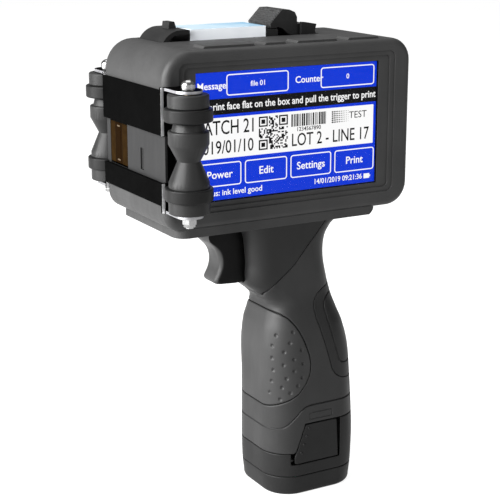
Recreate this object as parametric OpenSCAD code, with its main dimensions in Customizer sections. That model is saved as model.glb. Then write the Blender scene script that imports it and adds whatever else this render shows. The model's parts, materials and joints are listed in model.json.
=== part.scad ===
// Handheld date code inkjet printer: a screen head with an open print face, an ink cartridge under
// a latch, two grooved guide rollers, and a pistol handle on a slide-in battery.
// Millimetres, +Z up. The origin is the centre of the flat underside of the battery. The print face
// looks along -X and the screen along -Y.

/* [Head] */
// Distance from the handle axis to the print face
print_reach = 99; // [98.8:0.1:99.2]
// Distance from the handle axis to the rear end
rear_reach = 48; // [47.8:0.1:60]
// Depth of the head from screen face to back face
head_depth = 72.6; // [72.4:0.1:72.8]
// Height of the head's underside above the battery's underside
head_base_z = 164.7; // [164.6:0.1:165]
// Height of the head itself
head_height = 90.6; // [90.4:0.1:90.8]
// Wall thickness of the moulded shells
wall = 2.5; // [2.4:0.1:2.6]

/* [Display] */
// Width of the visible display area
display_w = 108; // [100:0.5:110]
// Height of the visible display area
display_h = 64.8; // [60:0.1:68]

/* [Rollers] */
// Distance of each roller axle from the middle plane
roller_y = 48; // [48:0.1:50]
// Radius of the rubber tyres
tyre_r = 12; // [11.6:0.05:12.2]
// Radius of the roller axles
axle_r = 2; // [1.8:0.05:2]

/* [Trigger] */
// Width of the trigger
trigger_w = 16; // [14:0.5:16]

/* [Battery] */
// Height of the seam between the battery's base cap and its case
cap_seam_z = 11.5; // [11:0.1:12]
// Radius of one battery cell
cell_r = 9.1; // [8.8:0.1:9.1]

/* [Hidden] */

// Fine and coarse circle resolutions
fine = 64;
coarse = 32;
// Gap between bodies that move against each other, and between fixed pieces
gap = 0.35;
fit = 0.1;
// Running clearance of a shaft in its bore
running = 0.07;
// Overshoot of a cutting tool past the surface it cuts
over = 1;

// Head planes
print_x = -print_reach;
rear_x = rear_reach;
near_y = -head_depth / 2;
far_y = head_depth / 2;
top_z = head_base_z + head_height;
// Corner radii of the head's side outline: bottom left, bottom right, top right, top left
head_radii = [10, 12.5, 12, 15];
head_fillet = 4;
cover_y = far_y - wall;
near_wall = 4;
pad_z = head_base_z - 3.7;

// Display planes
display_x = print_x + 72.6;
display_z = head_base_z + 46.3;
bezel_depth = 1.7;
glass_y = near_y + 2.35;
glass_t = 1.55;
glass_margin = [3.9, 3.4];
gasket_w = 1.8;
lcd_y = glass_y + glass_t + 0.05;
lcd_t = 4;

// Print face planes
sheet = 1.5;
band_x = print_x - sheet;
band_half = far_y - 1;
upper_band = [head_base_z + 49.7, head_base_z + 72];
lower_band = [head_base_z + 14.4, head_base_z + 25.9];
web_y = band_half - sheet;
web_end_x = print_x + 12;
ear_top_z = upper_band[1] + sheet;
ear_base_z = lower_band[0] - 2 * sheet - 0.5;
pocket_x = web_end_x + 0.5;
plate_x = print_x + 0.4;

// Rollers
roller_x = print_x + 7.1;
roller_top = upper_band[1] - 0.5;
roller_base = ear_base_z + sheet + 0.5;
ear_r = 7;
bush_r = 4;
bush_len = 5;
neck_r = 6.5;

// Cartridge bay
bay_y = 20;
cartridge_w = 24.8;
cartridge_front = print_x + 2.9;
cartridge_base = head_base_z + 24.6;
cartridge_top = top_z + 5.5;
snout_y = [9.7, 30.5];
snout_z = [head_base_z + 26.9, head_base_z + 48.5];
snout_x = print_x + 0.75;
stall_near = 4.9;
stall_wall = 1.8;
stall_far = cover_y - 0.3;
stall_base = head_base_z + 18.3;
stall_rear = 0;
latch_x = 9;
latch_z = top_z + 1.7;
latch_pin_r = 1.5;
barrel_r = 3.9;
lever_y = [7.3, 31.6];

// Neck, trigger and handle
neck_top = pad_z;
trigger_z = [124.2, 153.5];
trigger_half = trigger_w / 2;
switch_x = -17.5;
stem_r = 2.4;
seam_line = [[-60, 115.2], [-28.2, 115.2], [-29.8, 117.2], [-30.6, 119.6], [-30, 122.2], [-27.8, 124.9],
    [-24.8, 127.4], [-21.4, 130.1], [-18.3, 132.7], [-15.2, 135.7], [-11.4, 140.8], [-7.1, 146.4],
    [-3.4, 151], [0.4, 156.3], [3.8, 162]];
grip_depth = 1.2;
// Handle sections: height, front, rear, half width, corner radius
handle_rows = [
    [0, -27.4, 27.2, 24.9, 16], [11.5, -28.4, 28.2, 25.5, 16.5], [27, -28.8, 28.8, 25.6, 16.5],
    [40, -28.8, 28.5, 25.6, 16.5], [65, -28.8, 26.7, 25.6, 16.5], [84, -29.2, 24.6, 25.3, 16],
    [97, -28.1, 21.1, 24.2, 15.3], [104, -26.4, 18.3, 22.6, 14.5], [112, -25.5, 15.4, 20.8, 14],
    [118, -31.4, 13.2, 20.8, 13.5], [124, -38.4, 10.7, 21.6, 12.5], [137, -39.2, 7.2, 23, 12],
    [148, -40.2, 7.4, 24, 12], [155, -41.2, 10.6, 25, 12], [161, -42.4, 16, 26, 12]
];

// Battery
cell_len = 65;
stick_x = [-19.6, 20.9];
stick_half = 20.4;
stick_top = 82;
skirt_z = 25.5;
shoulder_z = 42.4;
tab_axis_y = 22.6;
tab_axis_z = 20.9;
tab_face_y = 25.5;
tab_t = 2.1;
base_edge = 2.4;

// A drawing in X and Z, extruded from y0 to y1
module slab_y(y0, y1) {
    translate([0, y1, 0])
    rotate([90, 0, 0])
    linear_extrude(y1 - y0)
    children();
}

// A drawing in Y and Z, extruded from x0 to x1
module slab_x(x0, x1) {
    translate([x0, 0, 0])
    rotate([90, 0, 90])
    linear_extrude(x1 - x0)
    children();
}

// A box between two corners
module block(low, high) {
    translate(low)
    cube(high - low);
}

// A rectangle with its own radius at each corner: bottom left, bottom right, top right, top left
module round_rect(low, high, r) {
    polygon([
        [low[0] + r[0], low[1]], [high[0] - r[1], low[1]],
        [high[0], low[1] + r[1]], [high[0], high[1] - r[2]],
        [high[0] - r[2], high[1]], [low[0] + r[3], high[1]],
        [low[0], high[1] - r[3]], [low[0], low[1] + r[0]]
    ]);
    centres = corner_centres(low, high, r);
    for (i = [0:3])
        translate(centres[i])
        circle(r[i], $fn = fine);
}

function corner_centres(low, high, r) = [
    [low[0] + r[0], low[1] + r[0]], [high[0] - r[1], low[1] + r[1]],
    [high[0] - r[2], high[1] - r[2]], [low[0] + r[3], high[1] - r[3]]
];

// The head's side outline, drawn in by a distance
module head_outline(inset) {
    low = [print_x + inset, head_base_z + inset];
    high = [rear_x - inset, top_z - inset];
    round_rect(low, high, head_radii - inset * [1, 1, 1, 1]);
}

// A block with the head's outline and one rounded edge, at y0 when side is 1 and at y1 when it is -1
module head_block(y0, y1, side) {
    centres = corner_centres([print_x, head_base_z], [rear_x, top_z], head_radii);
    round_y = side > 0 ? y0 + head_fillet : y1 - head_fillet;
    flat_y = side > 0 ? y1 : y0;
    hull()
    for (i = [0:3])
        translate([centres[i][0], 0, centres[i][1]]) {
            translate([0, round_y, 0])
            rotate([90, 0, 0])
            rotate_extrude($fn = coarse)
            translate([head_radii[i] - head_fillet, 0])
            intersection() {
                circle(head_fillet, $fn = coarse);
                translate([0, -head_fillet])
                square([head_fillet, 2 * head_fillet]);
            }
            translate([0, min(round_y, flat_y), 0])
            rotate([-90, 0, 0])
            cylinder(r = head_radii[i], h = abs(flat_y - round_y), $fn = coarse);
        }
}

// Places of the posts that the back cover screws into: X and Z
function post_places() = [
    [-84, head_base_z + 5.3], [-26, head_base_z + 5.1], [rear_x - 7.5, head_base_z + 7.3],
    [rear_x - 7.2, top_z - 7.2], [22, top_z - 5.3]
];

// A round hole or post along Y at an X and Z place
module along_y(place, r, y0, y1, facets = coarse) {
    translate([place[0], y0, place[1]])
    rotate([-90, 0, 0])
    cylinder(r = r, h = y1 - y0, $fn = facets);
}

// A round hole or post along X at a Y and Z place
module along_x(place, r, x0, x1, facets = coarse) {
    translate([x0, place[0], place[1]])
    rotate([0, 90, 0])
    cylinder(r = r, h = x1 - x0, $fn = facets);
}

// A round hole or post along Z at an X and Y place
module along_z(place, r, z0, z1, facets = coarse) {
    translate([place[0], place[1], z0])
    cylinder(r = r, h = z1 - z0, $fn = facets);
}

module display_rect(margin_x, margin_z, r) {
    half = [display_w / 2 + margin_x, display_h / 2 + margin_z];
    centre = [display_x, display_z];
    round_rect(centre - half, centre + half, r * [1, 1, 1, 1]);
}

post_r = 3.2;
button_z = head_base_z + 65;
usb_z = head_base_z + 44;
jack_z = head_base_z + 26;
neck_screw_places = [[-32, -12], [-32, 12], [8, -12], [8, 12]];

// Raised pads along the near edge of the head's top
module top_pads() {
    for (pad = [[-76, -45], [-41, -27], [-22, 4], [9, 30]])
        slab_y(-32, -21)
        polygon([
            [pad[0], top_z - 1], [pad[0] + 1.5, top_z + 1.1], [pad[1] - 1.5, top_z + 1.1], [pad[1], top_z - 1]
        ]);
}

// Raised pad under the head, which the neck is screwed to
module bottom_pad() {
    intersection() {
        slab_y(-band_half, cover_y)
        polygon([
            [-92, head_base_z + 1], [-92, pad_z], [23.5, pad_z], [28.5, head_base_z], [28.5, head_base_z + 1]
        ]);
        translate([0, 0, pad_z])
        linear_extrude(head_base_z + 1 - pad_z)
        round_rect([-92, -band_half], [28.5, cover_y], [7, 5, 5, 7]);
    }
}

module head_housing() {
    color("dimgray") {
        difference() {
            union() {
                head_block(near_y, cover_y, 1);
                bottom_pad();
                top_pads();
            }
            slab_y(near_y + near_wall, cover_y + over)
            head_outline(wall);
            slab_y(glass_y - 0.05, near_y + near_wall + over)
            display_rect(glass_margin[0] + gasket_w + fit, glass_margin[1] + gasket_w + fit, 2);
            slab_y(near_y - over, glass_y)
            display_rect(0.5, 0.5, 0.6);
            slab_y(near_y - over, near_y + 0.8)
            round_rect([-91, head_base_z + 8.4], [37.5, head_base_z + 84.5], [4, 4, 4, 4]);
            slab_y(near_y - over, near_y + bezel_depth)
            round_rect([-87.8, head_base_z + 10.9], [34.6, head_base_z + 82.1], [2.5, 2.5, 2.5, 2.5]);
            block(
                [print_x - over, near_y - over, ear_base_z - 0.2],
                [pocket_x, -web_y + fit, ear_top_z + 0.2]
            );
            block([print_x - over, web_y - fit, ear_base_z - 0.2], [pocket_x, far_y, ear_top_z + 0.2]);
            block(
                [print_x - over, -band_half - 0.05, lower_band[1] + 0.3],
                [print_x + 2, far_y, upper_band[0] - 0.3]
            );
            block([print_x - over, -web_y + fit, lower_band[1] - 4], [print_x + 2, far_y, upper_band[0] + 4]);
            block(
                [print_x - over, stall_near + 0.6, lower_band[1] - 3.5],
                [print_x + wall + over, far_y, upper_band[0] + 2.5]
            );
            block([print_x - over, -12, lower_band[1] + 1], [print_x + wall + over, -4, upper_band[0] - 8]);
            block([-81.3, stall_near - 0.3, top_z - wall - over], [15.3, far_y, top_z + 2 * over]);
            along_z([-15, 0], 7, pad_z - over, head_base_z + wall + over);
            along_x([0, button_z], 6.2, rear_x - wall - over, rear_x + over, fine);
            along_x([0, jack_z], 4.2, rear_x - wall - over, rear_x + over, fine);
            block([rear_x - wall - over, -6.8, usb_z - 3.1], [rear_x + over, 6.8, usb_z + 3.1]);
            for (place = neck_screw_places)
                along_z(place, 1.6, pad_z - over, head_base_z + wall + over);
            for (y = [-26, 0])
                for (z = [band_middle(upper_band), band_middle(lower_band)])
                    along_x([y, z], 1.6, print_x - over, print_x + wall + over);
        }
        for (place = post_places())
            difference() {
                along_y(place, post_r, near_y + near_wall - 0.05, cover_y);
                along_y(place, 1.3, 16, cover_y + over);
            }
    }
}

function band_middle(band) = (band[0] + band[1]) / 2;

module back_cover() {
    color("dimgray")
    difference() {
        head_block(cover_y, far_y, -1);
        block([print_x - over, near_y, pad_z], [rear_x + over, cover_y, top_z + over]);
        block([print_x - over, cover_y - over, ear_base_z - 0.2], [pocket_x, far_y + over, ear_top_z + 0.2]);
        for (place = post_places()) {
            along_y(place, 1.6, cover_y - over, far_y + over);
            along_y(place, 3, far_y - 1.3, far_y + over);
        }
        for (i = [0:6])
            slab_y(cover_y - over, far_y + over)
            round_rect([-8 + i * 6, head_base_z + 30], [-5.6 + i * 6, head_base_z + 56], 1.1 * [1, 1, 1, 1]);
    }
}

module back_cover_screws() {
    color("silver")
    for (place = post_places()) {
        along_y(place, 1.25, 19, far_y - 1.2);
        difference() {
            along_y(place, 2.7, far_y - 1.25, far_y - 0.1);
            for (turn = [0, 90])
                translate([place[0], far_y, place[1]])
                rotate([0, turn, 0])
                block([-1.6, -0.7, -0.3], [1.6, over, 0.3]);
        }
    }
}

module display_glass() {
    color("darkslategray")
    slab_y(glass_y, glass_y + glass_t)
    display_rect(glass_margin[0], glass_margin[1], 1);
}

module display_gasket() {
    color("black")
    slab_y(glass_y, glass_y + glass_t)
    difference() {
        display_rect(glass_margin[0] + gasket_w, glass_margin[1] + gasket_w, 1.8);
        display_rect(glass_margin[0] + 0.05, glass_margin[1] + 0.05, 1);
    }
}

module lcd_panel() {
    color("royalblue")
    slab_y(lcd_y, lcd_y + lcd_t)
    display_rect(glass_margin[0] - 0.5, glass_margin[1] - 0.5, 1);
}

board_y = -22;
board_t = 1.6;
board_low = [-76, head_base_z + 14];
board_high = [34, head_base_z + 78];
standoff_places = [[board_low[0] + 5, board_low[1] + 5], [board_high[0] - 5, board_low[1] + 5],
    [board_high[0] - 5, board_high[1] - 5], [board_low[0] + 5, board_high[1] - 5]];

module board_standoffs() {
    color("gold") {
        for (place = standoff_places)
            along_y(place, 2.4, lcd_y + lcd_t + 0.05, board_y - 0.05);
        for (y = [-18, 18])
            for (z = [head_base_z + 26, head_base_z + 71])
                along_x([y, z], 2.4, 39.05, rear_x - wall - 0.05);
    }
}

module main_board() {
    color("darkgreen") {
        slab_y(board_y, board_y + board_t)
        round_rect(board_low, board_high, [2, 2, 2, 2]);
        for (chip = [[-50, 30, 14, 14], [-20, 36, 18, 18], [8, 28, 10, 7], [-48, 60, 20, 6], [12, 56, 9, 9]])
            block(
                [chip[0], board_y + board_t, head_base_z + chip[1]],
                [chip[0] + chip[2], board_y + board_t + 1.8, head_base_z + chip[1] + chip[3]]
            );
        for (x = [-66, -30, 20])
            block(
                [x, board_y + board_t, board_low[1] + 1.5],
                [x + 10, board_y + board_t + 6, board_low[1] + 7]
            );
    }
}

module io_board() {
    color("darkgreen") {
        block([37.4, -22, head_base_z + 21], [39, 22, head_base_z + 76]);
        block([34.6, -12, head_base_z + 40], [37.4, 6, head_base_z + 46]);
    }
}

module power_switch() {
    color("black") {
        block([39.05, -4, button_z - 4], [41, 4, button_z + 4]);
        along_x([0, button_z], 1.7, 41, 41.7);
    }
}

module usb_port() {
    color("silver")
    difference() {
        block([39.05, -6.55, usb_z - 2.85], [rear_x - 0.3, 6.55, usb_z + 2.85]);
        difference() {
            block([40, -6.05, usb_z - 2.35], [rear_x + over, 6.05, usb_z + 2.35]);
            block([39, -5.4, usb_z + 0.1], [rear_x - 1, 5.4, usb_z + 1.9]);
        }
    }
}

module charge_jack() {
    color("black")
    difference() {
        union() {
            block([39.05, -4.8, jack_z - 4.8], [rear_x - wall - 0.2, 4.8, jack_z + 4.8]);
            along_x([0, jack_z], 4, rear_x - wall - 0.5, rear_x - 0.3, fine);
        }
        difference() {
            along_x([0, jack_z], 2.8, 40, rear_x + over, fine);
            along_x([0, jack_z], 1, 39, rear_x - 2, coarse);
        }
    }
}

module power_button() {
    color("firebrick")
    difference() {
        union() {
            along_x([0, button_z], 5.8, rear_x - wall - 0.5, rear_x + 1.5, fine);
            along_x([0, button_z], 7.2, rear_x - wall - 1.7, rear_x - wall - 0.4, fine);
            along_x([0, button_z], 2.4, 43.4, rear_x - wall - 1, coarse);
        }
        translate([rear_x + 8.9, 0, button_z])
        sphere(8, $fn = fine);
    }
}

// One roller bracket: two bands across the print face, a web on each side and four axle ears
module roller_bracket() {
    color([0.09, 0.09, 0.09])
    difference() {
        union() {
            for (band = [upper_band, lower_band])
                block([band_x, -band_half, band[0]], [print_x, band_half, band[1]]);
            for (side = [-1, 1])
                web_and_ears(side);
        }
        for (y = [-26, 0])
            for (z = [band_middle(upper_band), band_middle(lower_band)])
                along_x([y, z], 1.25, print_x - 1, print_x + over);
        for (side = [-1, 1])
            for (z = [ear_top_z - sheet / 2, ear_base_z + sheet / 2])
                along_z([roller_x, side * roller_y], axle_r + 0.08, z - over, z + over, fine);
    }
}

module web_and_ears(side) {
    web0 = side < 0 ? -band_half : web_y;
    slab_y(web0, web0 + sheet)
    difference() {
        polygon([[band_x, ear_base_z], [web_end_x, ear_base_z], [web_end_x, ear_top_z], [band_x, ear_top_z]]);
        translate([band_x - over, lower_band[1]])
        square([print_x + 2.05 - band_x + over, upper_band[0] - lower_band[1]]);
    }
    for (z = [ear_base_z, ear_top_z - sheet])
        translate([0, 0, z])
        linear_extrude(sheet) {
            translate([roller_x, side * roller_y])
            circle(ear_r, $fn = fine);
            polygon([
                [roller_x - ear_r, side * roller_y], [roller_x + ear_r, side * roller_y],
                [roller_x + ear_r, side * (far_y + 1)], [web_end_x, side * (far_y + 0.3)],
                [web_end_x, side * web_y], [print_x, side * web_y],
                [print_x, side * (far_y + 0.3)], [roller_x - ear_r, side * (far_y + 1)]
            ]);
        }
}

module bracket_screws() {
    color("silver")
    for (y = [-26, 0])
        for (z = [band_middle(upper_band), band_middle(lower_band)]) {
            along_x([y, z], 1.2, print_x - 0.9, print_x + wall + 0.5);
            along_x([y, z], 2.5, print_x + wall + 0.05, print_x + wall + 1.8);
        }
}

module head_plate() {
    color("gray")
    difference() {
        slab_x(plate_x, plate_x + sheet)
        difference() {
            union() {
                translate([-band_half + 0.1, lower_band[1] + 0.4])
                square([2 * band_half - 0.2, upper_band[0] - lower_band[1] - 0.8]);
                translate([-web_y + 0.3, lower_band[1] - 3.8])
                square([2 * web_y - 0.6, upper_band[0] - lower_band[1] + 7.6]);
            }
            translate([snout_y[0] - 0.4, lower_band[1] - 0.3])
            square([snout_y[1] - snout_y[0] + 0.8, upper_band[0] - lower_band[1] - 0.5]);
            translate([-10.45, head_base_z + 28.3])
            square([3.95, 11.3]);
        }
    }
}

module sensor_window() {
    color([0.05, 0.05, 0.07])
    block([plate_x + 0.5, -10.4, head_base_z + 28.35], [print_x + wall + 0.1, -6.55, head_base_z + 39.55]);
}

module sensor_board() {
    color("darkgreen") {
        block([print_x + wall + 0.2, -18, head_base_z + 25.3], [print_x + wall + 1.6, -3, head_base_z + 48]);
        block([print_x + wall + 1.6, -14, head_base_z + 29], [print_x + wall + 4, -5, head_base_z + 36]);
    }
}

hood_r = [9.8, 12];
hood_centre = [-69, cartridge_top - 11.8];
hood_end_x = -64.6;

// Points along an arc in X and Z
function arc(centre, r, a0, a1, count) =
    [for (i = [0:count]) let (a = a0 + (a1 - a0) * i / count) centre + r * [cos(a), sin(a)]];

// The arched hood over the front of the cartridge
module hood_profile() {
    polygon(concat(
        [[hood_end_x, hood_centre[1] + hood_r[1]]], arc(hood_centre, hood_r[1], 90, 178, 12),
        arc(hood_centre, hood_r[0], 178, 90, 12), [[hood_end_x, hood_centre[1] + hood_r[0]]]
    ));
}

module cartridge_stall() {
    color([0.16, 0.16, 0.17])
    difference() {
        union() {
            slab_y(stall_near, stall_near + stall_wall)
            polygon([
                [-95.5, stall_base], [1.6, stall_base], [14.5, 240], [14.5, top_z - 2.7], [-1, top_z - 2.7],
                [-1, top_z - 0.4], [-79, top_z - 0.4], [-84, top_z - 4.3], [-91, top_z - 7.8],
                [-95.5, top_z - 14.3]
            ]);
            block([-95.5, stall_near, stall_base], [1.6, stall_far, stall_base + 2]);
            block([stall_rear, stall_near, stall_base], [stall_rear + 1.6, stall_far, top_z - 3]);
            block([-42, stall_near, stall_base], [-26, stall_far, cartridge_base - 0.3]);
            block([stall_rear, stall_near, 240], [14.5, stall_far, top_z - 2.7]);
            slab_y(stall_near, stall_far)
            hood_profile();
            slab_y(16, 24)
            polygon([
                [-70.8, cartridge_top], [-70.2, cartridge_top + 3.6],
                [-67.2, cartridge_top + 3.6], [-66, cartridge_top]
            ]);
            for (y = [stall_near, stall_far - 1.5])
                slab_y(y, y + 1.5)
                polygon([
                    [3.8, top_z - 3], [14.5, top_z - 3], [12.6, top_z + 1.7], [13.6, top_z + 5.3],
                    [7, top_z + 6.5], [3.8, top_z + 6.8]
                ]);
        }
        along_y([latch_x, latch_z], latch_pin_r + 0.03, stall_near + 0.7, stall_far + over);
        block([-60, stall_near + stall_wall, stall_base - over], [-52, stall_far - 6, stall_base + 2 + over]);
    }
}

module latch_hinge_pin() {
    color("silver")
    along_y([latch_x, latch_z], latch_pin_r, stall_near + 0.75, stall_far - 0.1);
}

ramp_ribs = 7;

module latch_lever() {
    t = top_z;
    color([0.1, 0.1, 0.1])
    difference() {
        union() {
            slab_y(lever_y[0], lever_y[1]) {
                polygon([
                    [-14.2, t + 6.2], [-7, t + 13.4], [-2.2, t + 13.4], [1.2, t + 12], [2.6, t + 9.3],
                    [2.6, latch_z + 3.9], [latch_x, latch_z + barrel_r], [latch_x, latch_z - barrel_r],
                    [4, latch_z - 3.4], [0, t - 0.6],
                    [-2.7, t + 0.9], [-6, t + 3.3], [-9.4, t + 4.6], [-10.4, t + 3.9], [-13.6, t + 3.9]
                ]);
                translate([latch_x, latch_z])
                circle(barrel_r, $fn = fine);
            }
            for (i = [0:ramp_ribs - 1])
                along_y([-13.6, t + 6.8] + i * [1, 1], 0.35, lever_y[0] + 0.6, lever_y[1] - 0.6);
        }
        along_y([latch_x, latch_z], latch_pin_r + running, lever_y[0] - over, lever_y[1] + over);
    }
}

module ink_cartridge() {
    y0 = bay_y - cartridge_w / 2;
    y1 = bay_y + cartridge_w / 2;
    color([0.08, 0.08, 0.09])
    difference() {
        union() {
            slab_y(y0, y1)
            polygon([
                [cartridge_front, cartridge_base + 3], [cartridge_front + 4, cartridge_base],
                [-20, cartridge_base], [-9, cartridge_base + 15.7], [-9, top_z + 3.5],
                [-16.7, top_z + 3.5], [-16.7, cartridge_top - 0.25],
                [-62.7, cartridge_top - 0.25], [-62.7, top_z - 6.7], [-87, top_z - 6.7], [-92, top_z - 9.3],
                [cartridge_front, top_z - 15.3]
            ]);
            block([snout_x, snout_y[0], snout_z[0]], [cartridge_front + 1, snout_y[1], snout_z[1]]);
        }
        block([-90, y0 + 2, cartridge_base + 6], [-24, y1 - 2, top_z - 12]);
    }
}

module cartridge_label() {
    y0 = bay_y - cartridge_w / 2;
    y1 = bay_y + cartridge_w / 2;
    color("aliceblue")
    difference() {
        block([-62.4, y0 - 0.25, head_base_z + 62], [-17, y1 + 0.25, cartridge_top]);
        block([-63, y0, head_base_z + 60], [-16, y1, cartridge_top - 0.25]);
    }
}

module nozzle_flex() {
    color("saddlebrown")
    block([snout_x - 0.2, snout_y[0], snout_z[0]], [snout_x, snout_y[1], snout_z[1]]);
}

module nozzle_plate() {
    color("goldenrod")
    block([snout_x - 0.3, 18.2, snout_z[0] + 1.3], [snout_x - 0.2, 22.6, snout_z[1] - 1.3]);
}

module contact_board() {
    color("darkgreen")
    block([-66, 10, stall_base + 2.05], [-46, 30, stall_base + 3.6]);
}

module contact_pins() {
    color("gold")
    for (i = [0:7])
        for (x = [-62, -50])
            along_z([x, 11.6 + i * 2.4], 0.5, stall_base + 3.6, cartridge_base - 0.35, 16);
}

// Roller heights measured from the bottom of the roller
module at_roller(side) {
    translate([roller_x, side * roller_y, roller_base])
    children();
}

roller_len = roller_top - roller_base;

module roller_spool(side) {
    color([0.13, 0.13, 0.14])
    at_roller(side)
    difference() {
        rotate_extrude($fn = fine)
        polygon([
            [0, 0], [9.9, 0], [10.3, 0.4], [10.3, 6.4], [8.8, 6.4], [8.8, 12.9], [10.1, 12.9], [10.1, 15.6],
            [5.7, 26], [10.1, 34.4], [10.1, 40.4], [9.7, 40.9], [8.4, 40.9], [7.4, 44.6], [neck_r, 44.6],
            [neck_r, roller_len - 0.3], [0, roller_len - 0.3]
        ]);
        translate([0, 0, -over])
        cylinder(r = axle_r + 0.6, h = roller_len + 2 * over, $fn = fine);
        translate([0, 0, -over])
        cylinder(r = bush_r, h = bush_len + over, $fn = fine);
        translate([0, 0, roller_len - 0.3 - bush_len])
        cylinder(r = bush_r, h = bush_len + over, $fn = fine);
    }
}

module tyre_ring(side, z0, z1, inner_r, outer_r) {
    bevel = 0.5;
    at_roller(side)
    rotate_extrude($fn = fine)
    polygon([
        [inner_r, z0], [outer_r - bevel, z0], [outer_r, z0 + bevel],
        [outer_r, z1 - bevel], [outer_r - bevel, z1], [inner_r, z1]
    ]);
}

module upper_tyre(side) {
    color([0.1, 0.1, 0.1])
    tyre_ring(side, 45.4, 51.9, neck_r, tyre_r);
}

module lower_tyre(side) {
    color([0.1, 0.1, 0.1])
    tyre_ring(side, 6.4, 12.9, 8.8, tyre_r - 0.1);
}

module roller_cap(side) {
    color([0.14, 0.14, 0.15])
    tyre_ring(side, 51.9, roller_len, neck_r, 10.2);
}

module roller_bushes(side) {
    color("peru")
    at_roller(side)
    for (z = [0, roller_len - 0.3 - bush_len])
        translate([0, 0, z])
        difference() {
            cylinder(r = bush_r, h = bush_len, $fn = fine);
            translate([0, 0, -over])
            cylinder(r = axle_r + running, h = bush_len + 2 * over, $fn = fine);
        }
}

axle_base = ear_base_z - 5.6;

module axle_screw(side) {
    color("gainsboro")
    translate([roller_x, side * roller_y, 0])
    difference() {
        rotate_extrude($fn = fine) {
            translate([0, axle_base])
            square([axle_r, ear_top_z - axle_base]);
            translate([0, ear_top_z])
            square([3.5, 2.6]);
            intersection() {
                translate([0, ear_top_z + 1.2])
                circle(3.78, $fn = fine);
                translate([0, ear_top_z + 2.6])
                square([4, 3]);
            }
        }
        translate([0, 0, ear_top_z + 3])
        cylinder(r = 1.4, h = 4, $fn = 6);
    }
}

module axle_nut(side) {
    color("gainsboro")
    translate([roller_x, side * roller_y, ear_base_z])
    difference() {
        union() {
            translate([0, 0, -3.4])
            cylinder(r = 4, h = 3.4, $fn = 6);
            translate([0, 0, -4.8])
            cylinder(r = 3.1, h = 1.4, $fn = fine);
        }
        translate([0, 0, -5.8])
        cylinder(r = axle_r + 0.02, h = 6.8, $fn = fine);
    }
}

// Handle surface, lofted through the handle rows, with a rounded edge at its base
function slope(rows, i, k) = i == 0 || i == len(rows) - 1 ? 0
    : (rows[i + 1][k] - rows[i - 1][k]) / (rows[i + 1][0] - rows[i - 1][0]);
function span_index(rows, z) = max(0, min(len(rows) - 2, len([for (row = rows) if (row[0] <= z) 1]) - 1));
function hermite(p0, p1, m0, m1, t) =
    (2 * t * t * t - 3 * t * t + 1) * p0 + (t * t * t - 2 * t * t + t) * m0
    + (3 * t * t - 2 * t * t * t) * p1 + (t * t * t - t * t) * m1;
function row_value(z, k) =
    let (i = span_index(handle_rows, z),
         low = handle_rows[i],
         high = handle_rows[i + 1],
         span = high[0] - low[0],
         slope_low = slope(handle_rows, i, k) * span,
         slope_high = slope(handle_rows, i + 1, k) * span)
    hermite(low[k], high[k], slope_low, slope_high, (z - low[0]) / span);
function base_round(z) =
    z < base_edge ? base_edge - sqrt(base_edge * base_edge - pow(base_edge - z, 2)) : 0;
function handle_section(z, inset, steps) =
    let (drawn_in = inset + base_round(z),
         front = row_value(z, 1) + drawn_in,
         rear = row_value(z, 2) - drawn_in,
         half = row_value(z, 3) - drawn_in,
         r = row_value(z, 4) - drawn_in,
         corners = [
             [rear - r, half - r, 0], [front + r, half - r, 90],
             [front + r, r - half, 180], [rear - r, r - half, 270]
         ])
    [for (corner = corners)
        for (k = [0:steps])
            let (a = corner[2] + k * 90 / steps)
            [corner[0] + r * cos(a), corner[1] + r * sin(a), z]];

// The handle's solid between two heights, drawn in by a distance
module loft(z0, z1, inset, pitch, steps) {
    count = ceil((z1 - z0) / pitch);
    n = 4 * (steps + 1);
    points = [for (i = [0:count]) each handle_section(z0 + (z1 - z0) * i / count, inset, steps)];
    sides = [for (i = [0:count - 1])
        for (j = [0:n - 1])
            let (a = i * n + j, b = i * n + (j + 1) % n)
            each [[a, a + n, b], [b, a + n, b + n]]];
    polyhedron(points, concat([[for (j = [0:n - 1]) j]], sides, [[for (j = [n - 1:-1:0]) count * n + j]]));
}

// Region above the slanted seam, in X and Z
module neck_region() {
    polygon(concat(seam_line, [[3, 170], [-60, 170]]));
}

// Region below the edge of the handle, which steps up from the skirt to the shoulder
module battery_region(drop) {
    polygon([[-60, 0], [60, 0], [60, shoulder_z - drop], [-9.5 + drop, shoulder_z - drop],
        [-15.5 + drop, skirt_z - drop], [-60, skirt_z - drop]]);
}

// Outlines of the rubber on the front and on the rear of the handle, in X and Z
module front_grip_outline() {
    polygon([
        [-60, 52.8], [-28.9, 52.8], [-23.6, 55.4], [-18.5, 57.8], [-13.6, 61], [-9.4, 65.9], [-6.8, 71.5],
        [-6.2, 77], [-7.2, 82.6], [-9.8, 89.8], [-12.4, 95.4], [-15.4, 100.4], [-18.6, 104.3], [-22.1, 106.6],
        [-25.6, 107.8], [-60, 108]]);
}

module rear_grip_outline() {
    polygon([[60, 119.7], [9, 120], [3.6, 118.7], [0, 116], [-2, 112], [-2.5, 108], [-1.6, 102], [0.3, 96],
        [3, 87.6], [5.8, 78.4], [7.7, 72], [10, 68.6], [13.4, 66.4], [18, 65], [60, 64.7]]);
}

shell_base = skirt_z;
loft_pitch = 4.6;
inner_pitch = 5;
loft_steps = 5;
handle_screw_places = [[-8, 98], [-8, 119], [-1, 151.5]];
switch_post_places = [[-11, 143], [-1, 130]];
switch_half = 8.5;
block_post_places = [[-11, 87.5], [9, 87.5]];
block_half = 10;

module trigger_way() {
    block([-60, -trigger_half - 0.5, trigger_z[0] - 0.5], [-24, trigger_half + 0.5, trigger_z[1] + 0.6]);
}

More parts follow.
